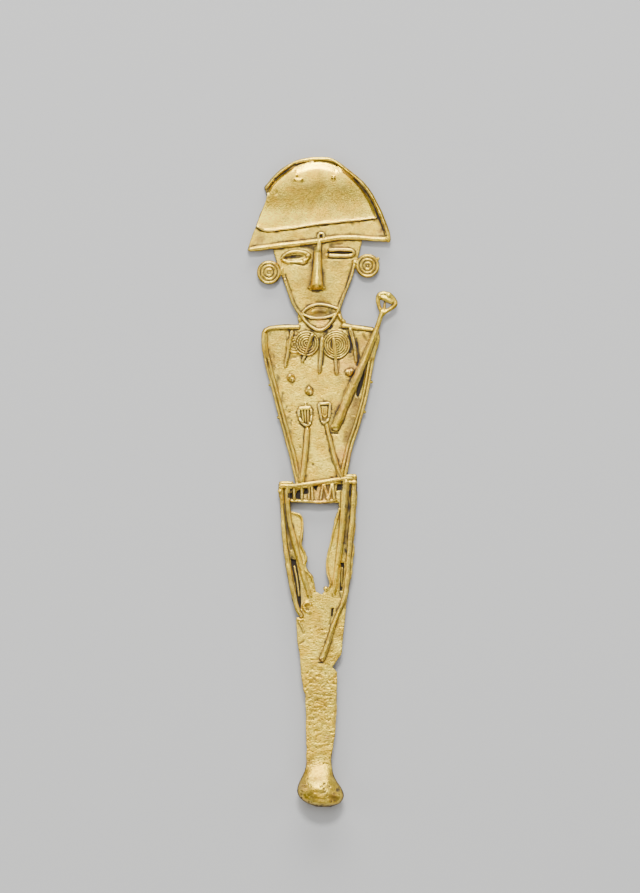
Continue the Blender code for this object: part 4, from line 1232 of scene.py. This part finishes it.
    # Copper-rich, pinkish places
    blushes: list[Patch] = listed(
        Patch(0.3, 96.6, 1.4, 0.6), Patch(6.9, 87.7, 2.0, 0.75), Patch(4.6, 88.2, 1.8, 0.6),
        Patch(8.4, 92.4, 1.2, 0.45), Patch(5.9, 79.8, 1.5, 0.4), Patch(4.1, 80.3, 0.9, 0.7),
        Patch(5.0, 70.4, 1.8, 0.75), Patch(0.6, 62.4, 2.2, 0.7), Patch(-2.2, 61.7, 1.4, 0.5),
        Patch(-12.2, 113.4, 1.0, 0.5), Patch(12.3, 115.2, 0.8, 0.6), Patch(0.2, 29.5, 0.45, 0.9),
        Patch(1.5, 14.1, 0.4, 0.9), Patch(-2.4, 9.2, 0.6, 0.5), Patch(-3.4, 4.3, 0.9, 0.6),
        Patch(2.6, 2.2, 0.9, 0.5), Patch(-4.0, 68.0, 0.9, 0.5), Patch(3.9, 111.9, 1.2, 0.4),
        Patch(-2.0, 91.2, 1.0, 0.5),
    )

    def patches(self, x: np.ndarray, y: np.ndarray, places: list[Patch]) -> np.ndarray:
        """The strongest of several round fades, each a bell curve of the distance from its middle.

        Args:
            x: places across the figure.
            y: places along the figure.
            places: the fades.

        Returns:
            Values from 0 to 1.
        """
        found = np.zeros(len(x))
        for place in places:
            reach = ((x - place.x) ** 2 + (y - place.y) ** 2) / place.radius**2
            found = np.maximum(found, place.strength * np.exp(-(reach**1.5)))
        return found

    def traces(self, x: np.ndarray, y: np.ndarray, lines: list[Trace]) -> np.ndarray:
        """The strongest of several lines, each full along its route and faded out at its two sides.

        Args:
            x: places across the figure.
            y: places along the figure.
            lines: the lines.

        Returns:
            Values from 0 to 1.
        """
        found = np.zeros(len(x))
        for line in lines:
            route = np.array(line.route)
            reach = line.half + line.fade
            (left, foot), (right, head) = route.min(axis=0) - reach, route.max(axis=0) + reach
            near = np.nonzero((x > left) & (x < right) & (y > foot) & (y < head))[0]
            away = distance_to(route, np.column_stack([x[near], y[near]]))
            shown = line.strength * soft_step(reach, line.half - 0.4 * line.fade, away)
            found[near] = np.maximum(found[near], shown)
        return found

    def inside(self, x: np.ndarray, y: np.ndarray, outline: Route) -> np.ndarray:
        """How far places lie inside an outline, below zero outside it. A place is inside where a line from it
        to the right crosses the outline an odd number of times.

        Args:
            x: places across the figure.
            y: places along the figure.
            outline: corners of the outline.

        Returns:
            Distance to the outline in mm, with its sign.
        """
        ring = np.array(outline + outline[:1])
        odd = np.zeros(len(x), dtype=bool)
        for (ax, ay), (bx, by) in zip(ring[:-1], ring[1:]):
            if ay != by:
                odd ^= ((ay > y) != (by > y)) & (x < ax + (y - ay) / (by - ay) * (bx - ax))
        return np.where(odd, 1.0, -1.0) * distance_to(ring, np.column_stack([x, y]))

    def burnish(self, y: np.ndarray) -> np.ndarray:
        """The polish of the stretch that each place is in, blended where two of them meet.

        Args:
            y: places along the figure.

        Returns:
            Values from 0 to 1.
        """
        return sum(self.polish[stretch.surface] * stretch.share(y) for stretch in self.stretches)

    def left_as(self, surface: Surface, y: np.ndarray) -> np.ndarray:
        """One where the surface was left in the given way, and nothing elsewhere."""
        return sum(stretch.share(y) for stretch in self.stretches if stretch.surface is surface)

    def pits(self, x: np.ndarray, y: np.ndarray) -> np.ndarray:
        """Gas pits: bell-shaped hollows at seeded places, crowded on the shank and few elsewhere.

        Args:
            x: places across the figure.
            y: places along the figure.

        Returns:
            Depth in mm at each place.
        """
        rng = np.random.default_rng(self.pit_seed)
        made = []
        for count, half, along, (least, most), drawn in self.pit_fields:
            draw = rng.normal if drawn else rng.uniform
            for _ in range(count):
                made.append((rng.uniform(-half, half), draw(*along), rng.uniform(least, most)))
        made += [(p.x, p.y, p.radius) for p in self.soil_and_shade_patches if p.y < 30.0 or p.radius < 0.25]
        depth = np.zeros(len(x))
        for px, py, radius in made:
            near = np.nonzero((np.abs(x - px) < 3 * radius) & (np.abs(y - py) < 3 * radius))[0]
            reach = (x[near] - px) ** 2 + (y[near] - py) ** 2
            depth[near] = np.maximum(depth[near], self.pit_depth * radius * np.exp(-reach / radius**2))
        return depth

    def relief(self, points: np.ndarray, front: np.ndarray) -> np.ndarray:
        """Height to add along the normal: rings, pockets, pits, the sheet's slow waves and the mould's grain.

        Args:
            points: skin positions in drawing mm.
            front: how far each faces forwards, from 0 to 1.

        Returns:
            Height in mm at each point, below zero for hollows.
        """
        x, y = points[:, 0], points[:, 1]
        rough = 1.0 - 0.85 * self.burnish(y)
        height = layered(points, self.slow_waves) + rough * layered(points, self.clay_grain)
        height += self.left_as(Surface.PITTED, y) * 0.022 * value_noise(points * [0.5, 1.7, 1.0], 0.42, 5)
        for disc in self.discs:
            open_above = soft_step(disc.top + 0.2, disc.top + 0.08, points[:, 2])
            height += front * disc.raise_rings(x, y) * open_above
        sway = 0.1 * value_noise(points, 0.8, 17)
        for outline, depth in self.pockets:
            height -= front * depth * soft_step(-0.1, 0.12, self.inside(x + sway, y - sway, outline))
        height += front * self.traces(x, y, self.slivers)
        height -= front * self.groove_depth * self.traces(x, y, self.soil_and_shade_lines)
        return height - front * self.pits(x, y)

    def height_maps(self, points: np.ndarray, front: np.ndarray) -> list[np.ndarray]:
        """Maps of the front's height, eased over two distances and ignoring what lies outside the figure.
        Each cell takes its highest point, and a bell curve is laid over the cells by multiplying spectra.

        Args:
            points: skin positions in drawing mm.
            front: whether each point faces forwards.

        Returns:
            One map for each distance.
        """
        column, row = self.cells(points[front, 0], points[front, 1])
        top = np.full(self.size, -1.0)
        np.maximum.at(top, (column, row), points[front, 2])
        known = top > -0.5
        top[~known] = 0.0
        maps = []
        for reach in self.map_reaches:
            across = np.fft.fftfreq(self.size[0], self.cell)[:, None]
            along = np.fft.rfftfreq(self.size[1], self.cell)[None, :]
            bell = np.exp(-2.0 * (math.pi * reach) ** 2 * (across**2 + along**2))
            weight = np.fft.irfft2(np.fft.rfft2(known.astype(float)) * bell, self.size)
            total = np.fft.irfft2(np.fft.rfft2(top) * bell, self.size)
            maps.append(total / np.maximum(weight, 1e-3))
        return maps

    def cells(self, x: np.ndarray, y: np.ndarray) -> tuple[np.ndarray, np.ndarray]:
        """The map cell of each place.

        Args:
            x: places across the figure.
            y: places along the figure.

        Returns:
            Column and row of each place.
        """
        column = np.clip(((x - self.low[0]) / self.cell).astype(int), 0, self.size[0] - 1)
        row = np.clip(((y - self.low[1]) / self.cell).astype(int), 0, self.size[1] - 1)
        return column, row

    def soil_and_shade(self, skin: Skin) -> np.ndarray:
        """Black soil together with painted shade: in crevices, along lines, in patches, pockets, pits and the
        grooves of the discs, where the darkness stands in for shade as well as for dirt.

        Args:
            skin: the skin's points.

        Returns:
            Values from 0 to 1.
        """
        x, y, fine, slow = skin.x, skin.y, skin.fine, skin.slow
        uneven = 0.55 + 0.45 * soft_step(-0.4, 0.3, slow)
        # painted shade: darker where the front sinks below its eased height, in the creases at the roots of
        # threads
        crevice = soft_step(*self.crevice_onset, skin.near + 0.05 * fine) * uneven
        dots = soft_step(*self.dot_onset, value_noise(skin.points * [1.0, 0.7, 1.0], 0.42, 12))
        sunk = soft_step(*self.sunk_onset, skin.near)
        lines = self.traces(x, y, self.soil_and_shade_lines) * soft_step(-1.0, -0.2, fine) * sunk
        found = np.maximum(0.9 * crevice, np.maximum(lines, self.traces(x, y, self.dotted_lines) * dots))
        found = np.maximum(found, self.patches(x, y, self.soil_and_shade_patches))
        # the pockets are filled dark: soil together with painted shade in the recess
        for outline, depth in self.pockets:
            filled = soft_step(*self.pocket_onset, self.inside(x, y, outline)) * soft_step(0.1, 0.4, depth)
            found = np.maximum(found, filled)
        found *= 1.0 - 0.85 * soft_step(0.15, 0.6, self.traces(x, y, self.slivers) / 0.42)
        pitted = soft_step(*self.pit_onset, self.pits(x, y)) * soft_step(-0.8, 0.2, slow) * 0.85
        found = np.maximum(found, pitted)
        # painted shade and soil in the grooves between the rings
        for disc in self.discs:
            bare = soft_step(disc.top + 0.25, disc.top + 0.12, skin.points[:, 2])
            grooves = disc.groove_soil_and_shade * disc.troughs(x, y) * bare * soft_step(-0.8, 0.0, fine)
            found = np.maximum(found, grooves)
        return found

    def tarnish_and_shade(self, skin: Skin) -> np.ndarray:
        """Brown tarnish and painted shade: in patches, along lines, as a thin film, and in wide hollows and
        narrow grooves, where the brown is painted shade.

        Args:
            skin: the skin's points.

        Returns:
            Values from 0 to about 1.
        """
        x, y, fine, slow = skin.x, skin.y, skin.fine, skin.slow
        uneven = 0.5 + 0.45 * soft_step(-0.5, 0.4, slow)
        found = (
            self.patches(x, y, self.tarnish_and_shade_patches) * (0.9 + 0.3 * slow + 0.3 * fine),
            self.traces(x, y, self.tarnish_and_shade_lines) * (0.9 + 0.4 * fine),
            0.45 * soft_step(*self.film_onset, layered(skin.points, self.brown_film)),
            # painted shade: brown in wide hollows and in narrow grooves
            0.6 * soft_step(*self.hollow_onset, skin.wide + 0.06 * fine),
            uneven * soft_step(*self.groove_onset, skin.near + 0.03 * fine),
        )
        return np.maximum.reduce(found)

    def marks(self, points: np.ndarray, normals: np.ndarray, maps: list[np.ndarray]) -> dict[str, np.ndarray]:
        """What the finish reads: soil and painted shade in the hollows, brown tarnish with painted shade,
        wear with a painted highlight on the ridges, burnish and blush.

        Args:
            points: skin positions in drawing mm.
            normals: skin normals.
            maps: eased height maps of the front.

        Returns:
            One value from 0 to 1 for each point, by name.
        """
        x, y, z = points.T
        front = soft_step(*self.front_onset, normals[:, 2])
        column, row = self.cells(x, y)
        x, y = x + layered(points, self.wander_x), y + layered(points, self.wander_y)
        near, wide = (m[column, row] - z for m in maps)
        fine, slow = layered(points, self.fine_blots), layered(points, self.slow_blots)
        skin = Skin(points, x, y, near, wide, fine, slow)
        found = {
            "soil_and_shade": self.soil_and_shade(skin),
            "tarnish_and_shade": self.tarnish_and_shade(skin),
            # paler on ridges: real wear together with a painted highlight along the tops of threads
            "wear_and_sheen": soft_step(*self.ridge_onset, -near),
            "blush": self.patches(x, y, self.blushes) * (0.8 + 0.6 * fine),
            "burnish": self.burnish(y),
        }
        behind = {"soil_and_shade": 0.5 * soft_step(0.35, 0.9, fine), "tarnish_and_shade": 0.35 + 0.5 * slow}
        return {
            name: np.clip(front * values + (1.0 - front) * behind.get(name, 0.0), 0.0, 1.0)
            for name, values in found.items()
        }


def linear(hex_colour: str) -> tuple[float, float, float, float]:
    """An sRGB hex colour as linear red, green, blue and alpha.

    Args:
        hex_colour: six hex digits after a number sign.

    Returns:
        The linear colour.
    """
    parts = [int(hex_colour[i : i + 2], 16) / 255.0 for i in (1, 3, 5)]
    made = [p / 12.92 if p <= 0.04045 else ((p + 0.055) / 1.055) ** 2.4 for p in parts]
    return (made[0], made[1], made[2], 1.0)


def add_node(tree: bpy.types.NodeTree, kind: str, links: dict, **settings) -> bpy.types.Node:
    """Adds a shader node.

    Args:
        tree: node tree it joins.
        kind: Blender's name of the node.
        links: input name or number, to the socket or the plain value that feeds it.
        **settings: the node's own properties.

    Returns:
        The new node.
    """
    node = tree.nodes.new(kind)
    for name, value in settings.items():
        setattr(node, name, value)
    for name, value in links.items():
        if isinstance(value, bpy.types.NodeSocket):
            tree.links.new(value, node.inputs[name])
        else:
            node.inputs[name].default_value = value
    return node


@dataclass(frozen=True)
class CastGold:
    """Gold and copper alloy, lost-wax cast: burnished where the smith rubbed it, and otherwise with the fine
    grain of the clay mould. Soil and painted shade fill the hollows, which gives the drawing its dark lines."""

    name: str = "gold_alloy_lost_wax_cast"
    gold: str = "#E1B62B"
    pale: str = "#F0D44D"
    # pale of worn ridges, also used as a painted highlight on thread tops
    worn_sheen: str = "#F4D870"
    deep: str = "#8E6C2C"
    # brown of the tarnish, also used as painted shade in hollows and beside the nose
    tarnish_and_shade: str = "#634A24"
    copper: str = "#D08A52"
    # black of the soil, also used as painted shade in crevices and recesses
    soil_and_shade: str = "#20160A"
    burnished_roughness: float = 0.27
    skin_roughness: float = 0.36
    soil_roughness: float = 0.85
    grain_mm: float = 0.28  # the mould's clay grain, drawn as coarse as the render can show
    mottle_mm: float = 2.4  # patches of thicker and thinner tarnish
    bump_mm: float = 0.07  # height of the grain
    skin_bump: float = 0.62
    burnished_bump: float = 0.17
    skin_specks: float = 0.45
    burnished_specks: float = 0.4
    # How much of each mark reaches the colour, and how much the tarnish with its painted shade dims the metal
    blush_share: float = 0.75
    tarnish_and_shade_share: float = 0.9
    wear_and_sheen_share: float = 0.8
    film_share: float = 0.22

    def material(self) -> bpy.types.Material:
        """The finish as a material: one blend after another, each led by a mark of the surface or by noise.

        Returns:
            The material.
        """
        made = bpy.data.materials.new(self.name)
        made.use_nodes = True
        tree = made.node_tree
        shader = tree.nodes["Principled BSDF"]
        place = add_node(tree, "ShaderNodeTexCoord", {}).outputs["Object"]
        # the soil and tarnish marks darken hollows and creases with painted shade as well as dirt, and the
        # wear mark paints a highlight on ridges as well as wear
        soil_and_shade, tarnish_and_shade, wear_and_sheen, burnish, blush = (
            add_node(tree, "ShaderNodeAttribute", {}, attribute_name=mark).outputs["Fac"]
            for mark in ("soil_and_shade", "tarnish_and_shade", "wear_and_sheen", "burnish", "blush")
        )

        # Three noises, each stretched so that its low level is none of it and its high level all of it
        waves = []
        for size_mm, low, high in (
            (self.mottle_mm, 0.35, 0.68), (self.grain_mm * 1.4, 0.42, 0.66), (self.grain_mm, 0.2, 0.8),
        ):
            links = {"Vector": place, "Scale": 1.0 / (size_mm * MM), "Detail": 3.0}
            links = {"Value": add_node(tree, "ShaderNodeTexNoise", links).outputs["Fac"]}
            links |= {"From Min": low, "From Max": high}
            waves.append(add_node(tree, "ShaderNodeMapRange", links).outputs["Result"])
        mottle, speck, grain = waves

        # How much the skin and the burnished places have of the specks and of the grain's bumps
        speckled, bumpy = (
            add_node(tree, "ShaderNodeMix", {0: burnish, 2: skin, 3: smooth}, data_type="FLOAT").outputs[0]
            for skin, smooth in (
                (self.skin_specks, self.burnished_specks), (self.skin_bump, self.burnished_bump),
            )
        )
        specks, blushed, tarnished_and_shaded, ridge_wear_and_sheen, film_and_shade = (
            add_node(tree, "ShaderNodeMath", {0: value, 1: factor}, operation="MULTIPLY").outputs[0]
            for value, factor in (
                (speck, speckled), (blush, self.blush_share), (tarnish_and_shade, self.tarnish_and_shade_share),
                (wear_and_sheen, self.wear_and_sheen_share), (tarnish_and_shade, self.film_share),
            )
        )

        colour = linear(self.gold)
        for share, next_colour in (
            (mottle, self.pale), (specks, self.deep), (blushed, self.copper), (tarnished_and_shaded, self.tarnish_and_shade),
            (ridge_wear_and_sheen, self.worn_sheen), (soil_and_shade, self.soil_and_shade),
        ):
            links = {0: share, 6: colour, 7: linear(next_colour)}
            colour = add_node(tree, "ShaderNodeMix", links, data_type="RGBA").outputs[2]
        roughness = self.skin_roughness
        for share, next_roughness in (
            (burnish, self.burnished_roughness), (ridge_wear_and_sheen, self.burnished_roughness),
            (soil_and_shade, self.soil_roughness),
        ):
            links = {0: share, 2: roughness, 3: next_roughness}
            roughness = add_node(tree, "ShaderNodeMix", links, data_type="FLOAT").outputs[0]
        # soil, tarnish and their painted shade turn the metal into a dull non-metal cover
        covered = add_node(tree, "ShaderNodeMath", {0: soil_and_shade, 1: film_and_shade}, operation="MAXIMUM").outputs[0]
        metal = add_node(tree, "ShaderNodeMath", {0: 1.0, 1: covered}, operation="SUBTRACT").outputs[0]
        links = {"Height": grain, "Strength": bumpy, "Distance": self.bump_mm * MM}
        bump = add_node(tree, "ShaderNodeBump", links).outputs["Normal"]
        fed = {"Base Color": colour, "Roughness": roughness, "Metallic": metal, "Normal": bump}
        for name, socket in fed.items():
            tree.links.new(socket, shader.inputs[name])
        return made


@dataclass
class Casting:
    """The figurine in one piece: every wax member fused, worked, thinned and put in the frame."""

    hat: Hat = field(default_factory=Hat)
    face: Face = field(default_factory=Face)
    necklace: Necklace = field(default_factory=Necklace)
    arms: Arms = field(default_factory=Arms)
    staff: Staff = field(default_factory=Staff)
    trunk: Trunk = field(default_factory=Trunk)
    skirt: Skirt = field(default_factory=Skirt)
    legs: Legs = field(default_factory=Legs)
    shank: Shank = field(default_factory=Shank)
    lump: FootLump = field(default_factory=FootLump)
    finish: CastGold = CastGold()
    easing: int = 2  # rounds that make the wax fillets
    quick_easing: int = 1
    worked_onset: Point = (0.2, 0.7)  # how far the skin must face forwards to be worked

    def wax(self) -> bpy.types.Mesh:
        """All members in one mesh, still overlapping.

        Returns:
            The mesh, in drawing mm.
        """
        members = (
            self.hat, self.face, self.necklace, self.arms, self.staff,
            self.trunk, self.skirt, self.legs, self.shank, self.lump,
        )
        points: list[np.ndarray] = []
        faces: list[list[int]] = []
        count = 0
        for member in members:
            shells = [part.shell() for part in member.parts()]
            for shell in shells:
                faces += (shell.quads + count).tolist() + [(cap + count).tolist() for cap in shell.caps]
                points.append(shell.points)
                count += len(shell.points)
            log.info("%s: %d wax parts", type(member).__name__, len(shells))
        mesh = bpy.data.meshes.new("wax")
        mesh.from_pydata(np.vstack(points).tolist(), [], faces)
        return mesh

    def fused(self, mesh: bpy.types.Mesh, voxel: float) -> bpy.types.Mesh:
        """One outer skin of the overlapping members.

        Args:
            mesh: the members.
            voxel: grid of the skin, in mm.

        Returns:
            The skin, in drawing mm.
        """
        return self.through(mesh, "REMESH", mode="VOXEL", voxel_size=voxel, adaptivity=0.0)

    def through(self, mesh: bpy.types.Mesh, kind: str, **settings) -> bpy.types.Mesh:
        """Puts a mesh through one modifier.

        Args:
            mesh: what goes in.
            kind: Blender's name of the modifier.
            **settings: the modifier's own properties.

        Returns:
            What comes out.
        """
        carrier = bpy.data.objects.new("carrier", mesh)
        bpy.context.scene.collection.objects.link(carrier)
        modifier = carrier.modifiers.new(kind.lower(), kind)
        for name, value in settings.items():
            setattr(modifier, name, value)
        bpy.context.view_layer.update()
        evaluated = carrier.evaluated_get(bpy.context.evaluated_depsgraph_get())
        made = bpy.data.meshes.new_from_object(evaluated)
        bpy.data.objects.remove(carrier)
        return made

    def arrays(self, mesh: bpy.types.Mesh) -> tuple[np.ndarray, np.ndarray, np.ndarray]:
        """A mesh's numbers.

        Args:
            mesh: the mesh.

        Returns:
            Vertex places, vertex normals and edges, a row for each.
        """
        count = len(mesh.vertices)
        points, normals = np.empty(count * 3), np.empty(count * 3, dtype=np.float32)
        edges = np.empty(len(mesh.edges) * 2, dtype=np.int32)
        mesh.vertices.foreach_get("co", points)
        mesh.vertex_normals.foreach_get("vector", normals)
        mesh.edges.foreach_get("vertices", edges)
        return points.reshape(-1, 3), normals.reshape(-1, 3).astype(float), edges.reshape(-1, 2)

    def eased(self, points: np.ndarray, edges: np.ndarray, rounds: int) -> np.ndarray:
        """Wax fillets: each point moves half way to the mean of its neighbours, several times over.

        Args:
            points: skin positions.
            edges: pairs of neighbours.
            rounds: how many times.

        Returns:
            The moved positions.
        """
        count = len(points)
        ends = np.concatenate([edges[:, 0], edges[:, 1]])
        others = np.concatenate([edges[:, 1], edges[:, 0]])
        share = np.bincount(ends, minlength=count).astype(float)
        for _ in range(rounds):
            mean = np.column_stack(
                [np.bincount(ends, weights=points[others, axis], minlength=count) for axis in range(3)]
            )
            points = 0.5 * points + 0.5 * mean / share[:, None]
        return points

    def largest(self, mesh: bpy.types.Mesh) -> bpy.types.Mesh:
        """The mesh without the small skins of closed-in bubbles. Every vertex takes the lowest label among
        its neighbours until none changes, and the commonest label stays.

        Args:
            mesh: a skin with bubbles.

        Returns:
            The outer skin alone.
        """
        points, _, edges = self.arrays(mesh)
        label = np.arange(len(points))
        while True:
            before = label.copy()
            low = np.minimum(label[edges[:, 0]], label[edges[:, 1]])
            np.minimum.at(label, edges[:, 0], low)
            np.minimum.at(label, edges[:, 1], low)
            label = label[label]
            if np.array_equal(before, label):
                break
        names, counts = np.unique(label, return_counts=True)
        keep = label == names[np.argmax(counts)]
        corners = np.empty(len(mesh.loops), dtype=np.int32)
        mesh.loops.foreach_get("vertex_index", corners)
        triangles = corners.reshape(-1, 3)
        triangles = triangles[keep[triangles[:, 0]]]
        renumbered = np.cumsum(keep) - 1
        made = bpy.data.meshes.new(NODE)
        made.from_pydata(points[keep].tolist(), [], renumbered[triangles].tolist())
        return made

    def build(self) -> bpy.types.Object:
        """The finished casting.

        Returns:
            The object, in metres in the frame.
        """
        skin = self.fused(self.wax(), VOXEL)
        points, _, edges = self.arrays(skin)
        log.info("fused skin: %d points", len(points))
        points = self.eased(points, edges, self.easing)
        skin.vertices.foreach_set("co", points.ravel())
        skin.update()
        _, normals, _ = self.arrays(skin)
        surface = WorkedSurface(self.face.ears() + self.necklace.discs())
        front = soft_step(*self.worked_onset, normals[:, 2])
        points = points + normals * surface.relief(points, front)[:, None]
        skin.vertices.foreach_set("co", points.ravel())
        skin.update()
        maps = surface.height_maps(points, normals[:, 2] > 0.1)

        ratio = min(1.0, FACE_BUDGET / (2 * len(skin.polygons)))
        thinned = self.through(skin, "DECIMATE", ratio=ratio, use_collapse_triangulate=True)
        mesh = self.largest(thinned)
        points, normals, _ = self.arrays(mesh)
        for name, values in surface.marks(points, normals, maps).items():
            mesh.attributes.new(name, "FLOAT", "POINT").data.foreach_set("value", values.astype(np.float32))

        low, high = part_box(NODE)
        step = (high[1] - low[1]) / DRAWN_LENGTH
        points[:, 2] = np.maximum(points[:, 2] + body_lift(points[:, 1]), 0.0)
        points[:, :2] -= DRAWN_MIDDLE
        mesh.vertices.foreach_set("co", (points * step).ravel())
        mesh.shade_smooth()
        mesh.materials.append(self.finish.material())
        mesh.update()
        casting = bpy.data.objects.new("cast_figurine", mesh)
        bpy.context.scene.collection.objects.link(casting)
        log.info("casting: %d triangles", len(mesh.polygons))
        return casting


@dataclass(frozen=True)
class Softbox:
    """An oval lamp that faces the figure: where it stands over the table, its height and its two sides, all
    in metres, and its power in watts."""

    name: str
    place: Point
    height: float
    size: Point
    power: float

    def add(self) -> None:
        """Puts the lamp in the scene, where the camera doesn't see it."""
        lamp = bpy.data.lights.new(self.name, "AREA")
        lamp.shape, lamp.energy = "ELLIPSE", self.power
        lamp.size, lamp.size_y = self.size
        holder = bpy.data.objects.new(self.name, lamp)
        holder.location = (*self.place, self.height)
        holder.rotation_mode = "QUATERNION"
        holder.rotation_quaternion = (-holder.location).to_track_quat("-Z", "Y")
        holder.visible_camera = False
        bpy.context.scene.collection.objects.link(holder)


@dataclass
class Studio:
    """A pale table, soft light from the head's side and a camera looking straight down."""

    lamps: list[Softbox] = listed(
        Softbox("overhead_softbox", (-0.12, 0.4), 1.2, (1.0, 0.85), 9.8),
        Softbox("head_side_strip", (0.0, 0.85), 1.1, (0.42, 0.22), 20.0),
        Softbox("head_side_low", (0.0, 1.2), 0.45, (1.3, 0.55), 24.0),
        Softbox("left_fill", (-0.9, 0.1), 0.4, (0.35, 0.9), 3.6),
        Softbox("right_fill", (0.9, 0.1), 0.4, (0.35, 0.9), 2.8),
        Softbox("foot_fill", (0.0, -1.05), 0.75, (1.1, 0.9), 7.0),
    )
    image: tuple[int, int] = (640, 893)
    pixel_mm: float = 0.2  # what one pixel of the photograph spans on the figure
    middle_px: Point = (320.0, 446.5)
    origin_px: Point = (320.0, 807.0)  # the pixel of the drawing's zero, the lump's foot on the midline
    distance: float = 1.3
    sensor_mm: float = 36.0
    table: str = "#ADADAC"
    table_roughness: float = 0.9
    table_half: float = 3.0
    table_height: float = -0.00005  # just below the figure
    surroundings: tuple[float, float, float, float] = (0.11, 0.11, 0.113, 1.0)

    def floor(self) -> None:
        """The table: a flat square of matt pale paper."""
        half, z = self.table_half, self.table_height
        mesh = bpy.data.meshes.new("table_top")
        corners = [(-half, -half, z), (half, -half, z), (half, half, z), (-half, half, z)]
        mesh.from_pydata(corners, [], [(0, 1, 2, 3)])
        paper = bpy.data.materials.new("matt_grey_paper")
        paper.use_nodes = True
        shader = paper.node_tree.nodes["Principled BSDF"]
        shader.inputs["Base Color"].default_value = linear(self.table)
        shader.inputs["Roughness"].default_value = self.table_roughness
        mesh.materials.append(paper)
        top = bpy.data.objects.new("table_top", mesh)
        bpy.context.scene.collection.objects.link(top)

    def camera(self) -> None:
        """A long lens straight above the photograph's middle, framing as many millimetres as it does."""
        x = (self.middle_px[0] - self.origin_px[0]) * self.pixel_mm - DRAWN_MIDDLE[0]
        y = (self.origin_px[1] - self.middle_px[1]) * self.pixel_mm - DRAWN_MIDDLE[1]
        lens = bpy.data.cameras.new("camera")
        lens.sensor_width = self.sensor_mm
        lens.lens = lens.sensor_width * self.distance / (self.image[1] * self.pixel_mm * MM)
        lens.clip_start, lens.clip_end = 0.1, 20.0
        camera = bpy.data.objects.new("camera", lens)
        camera.location = (x * MM, y * MM, self.distance)
        bpy.context.scene.collection.objects.link(camera)
        bpy.context.scene.camera = camera

    def build(self) -> None:
        """Table, lamps, dim surroundings and camera."""
        self.floor()
        for lamp in self.lamps:
            lamp.add()
        world = bpy.data.worlds.new("studio")
        world.use_nodes = True
        world.node_tree.nodes["Background"].inputs["Color"].default_value = self.surroundings
        bpy.context.scene.world = world
        self.camera()


def main() -> None:
    """Builds the casting in the frame, then the studio."""
    logging.basicConfig(level=logging.INFO, format="%(message)s")
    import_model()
    casting = Casting().build()
    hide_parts(NODE)
    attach(casting, "root")
    Studio().build()
    log.info("sizes written")


if __name__ == "__main__":
    main()
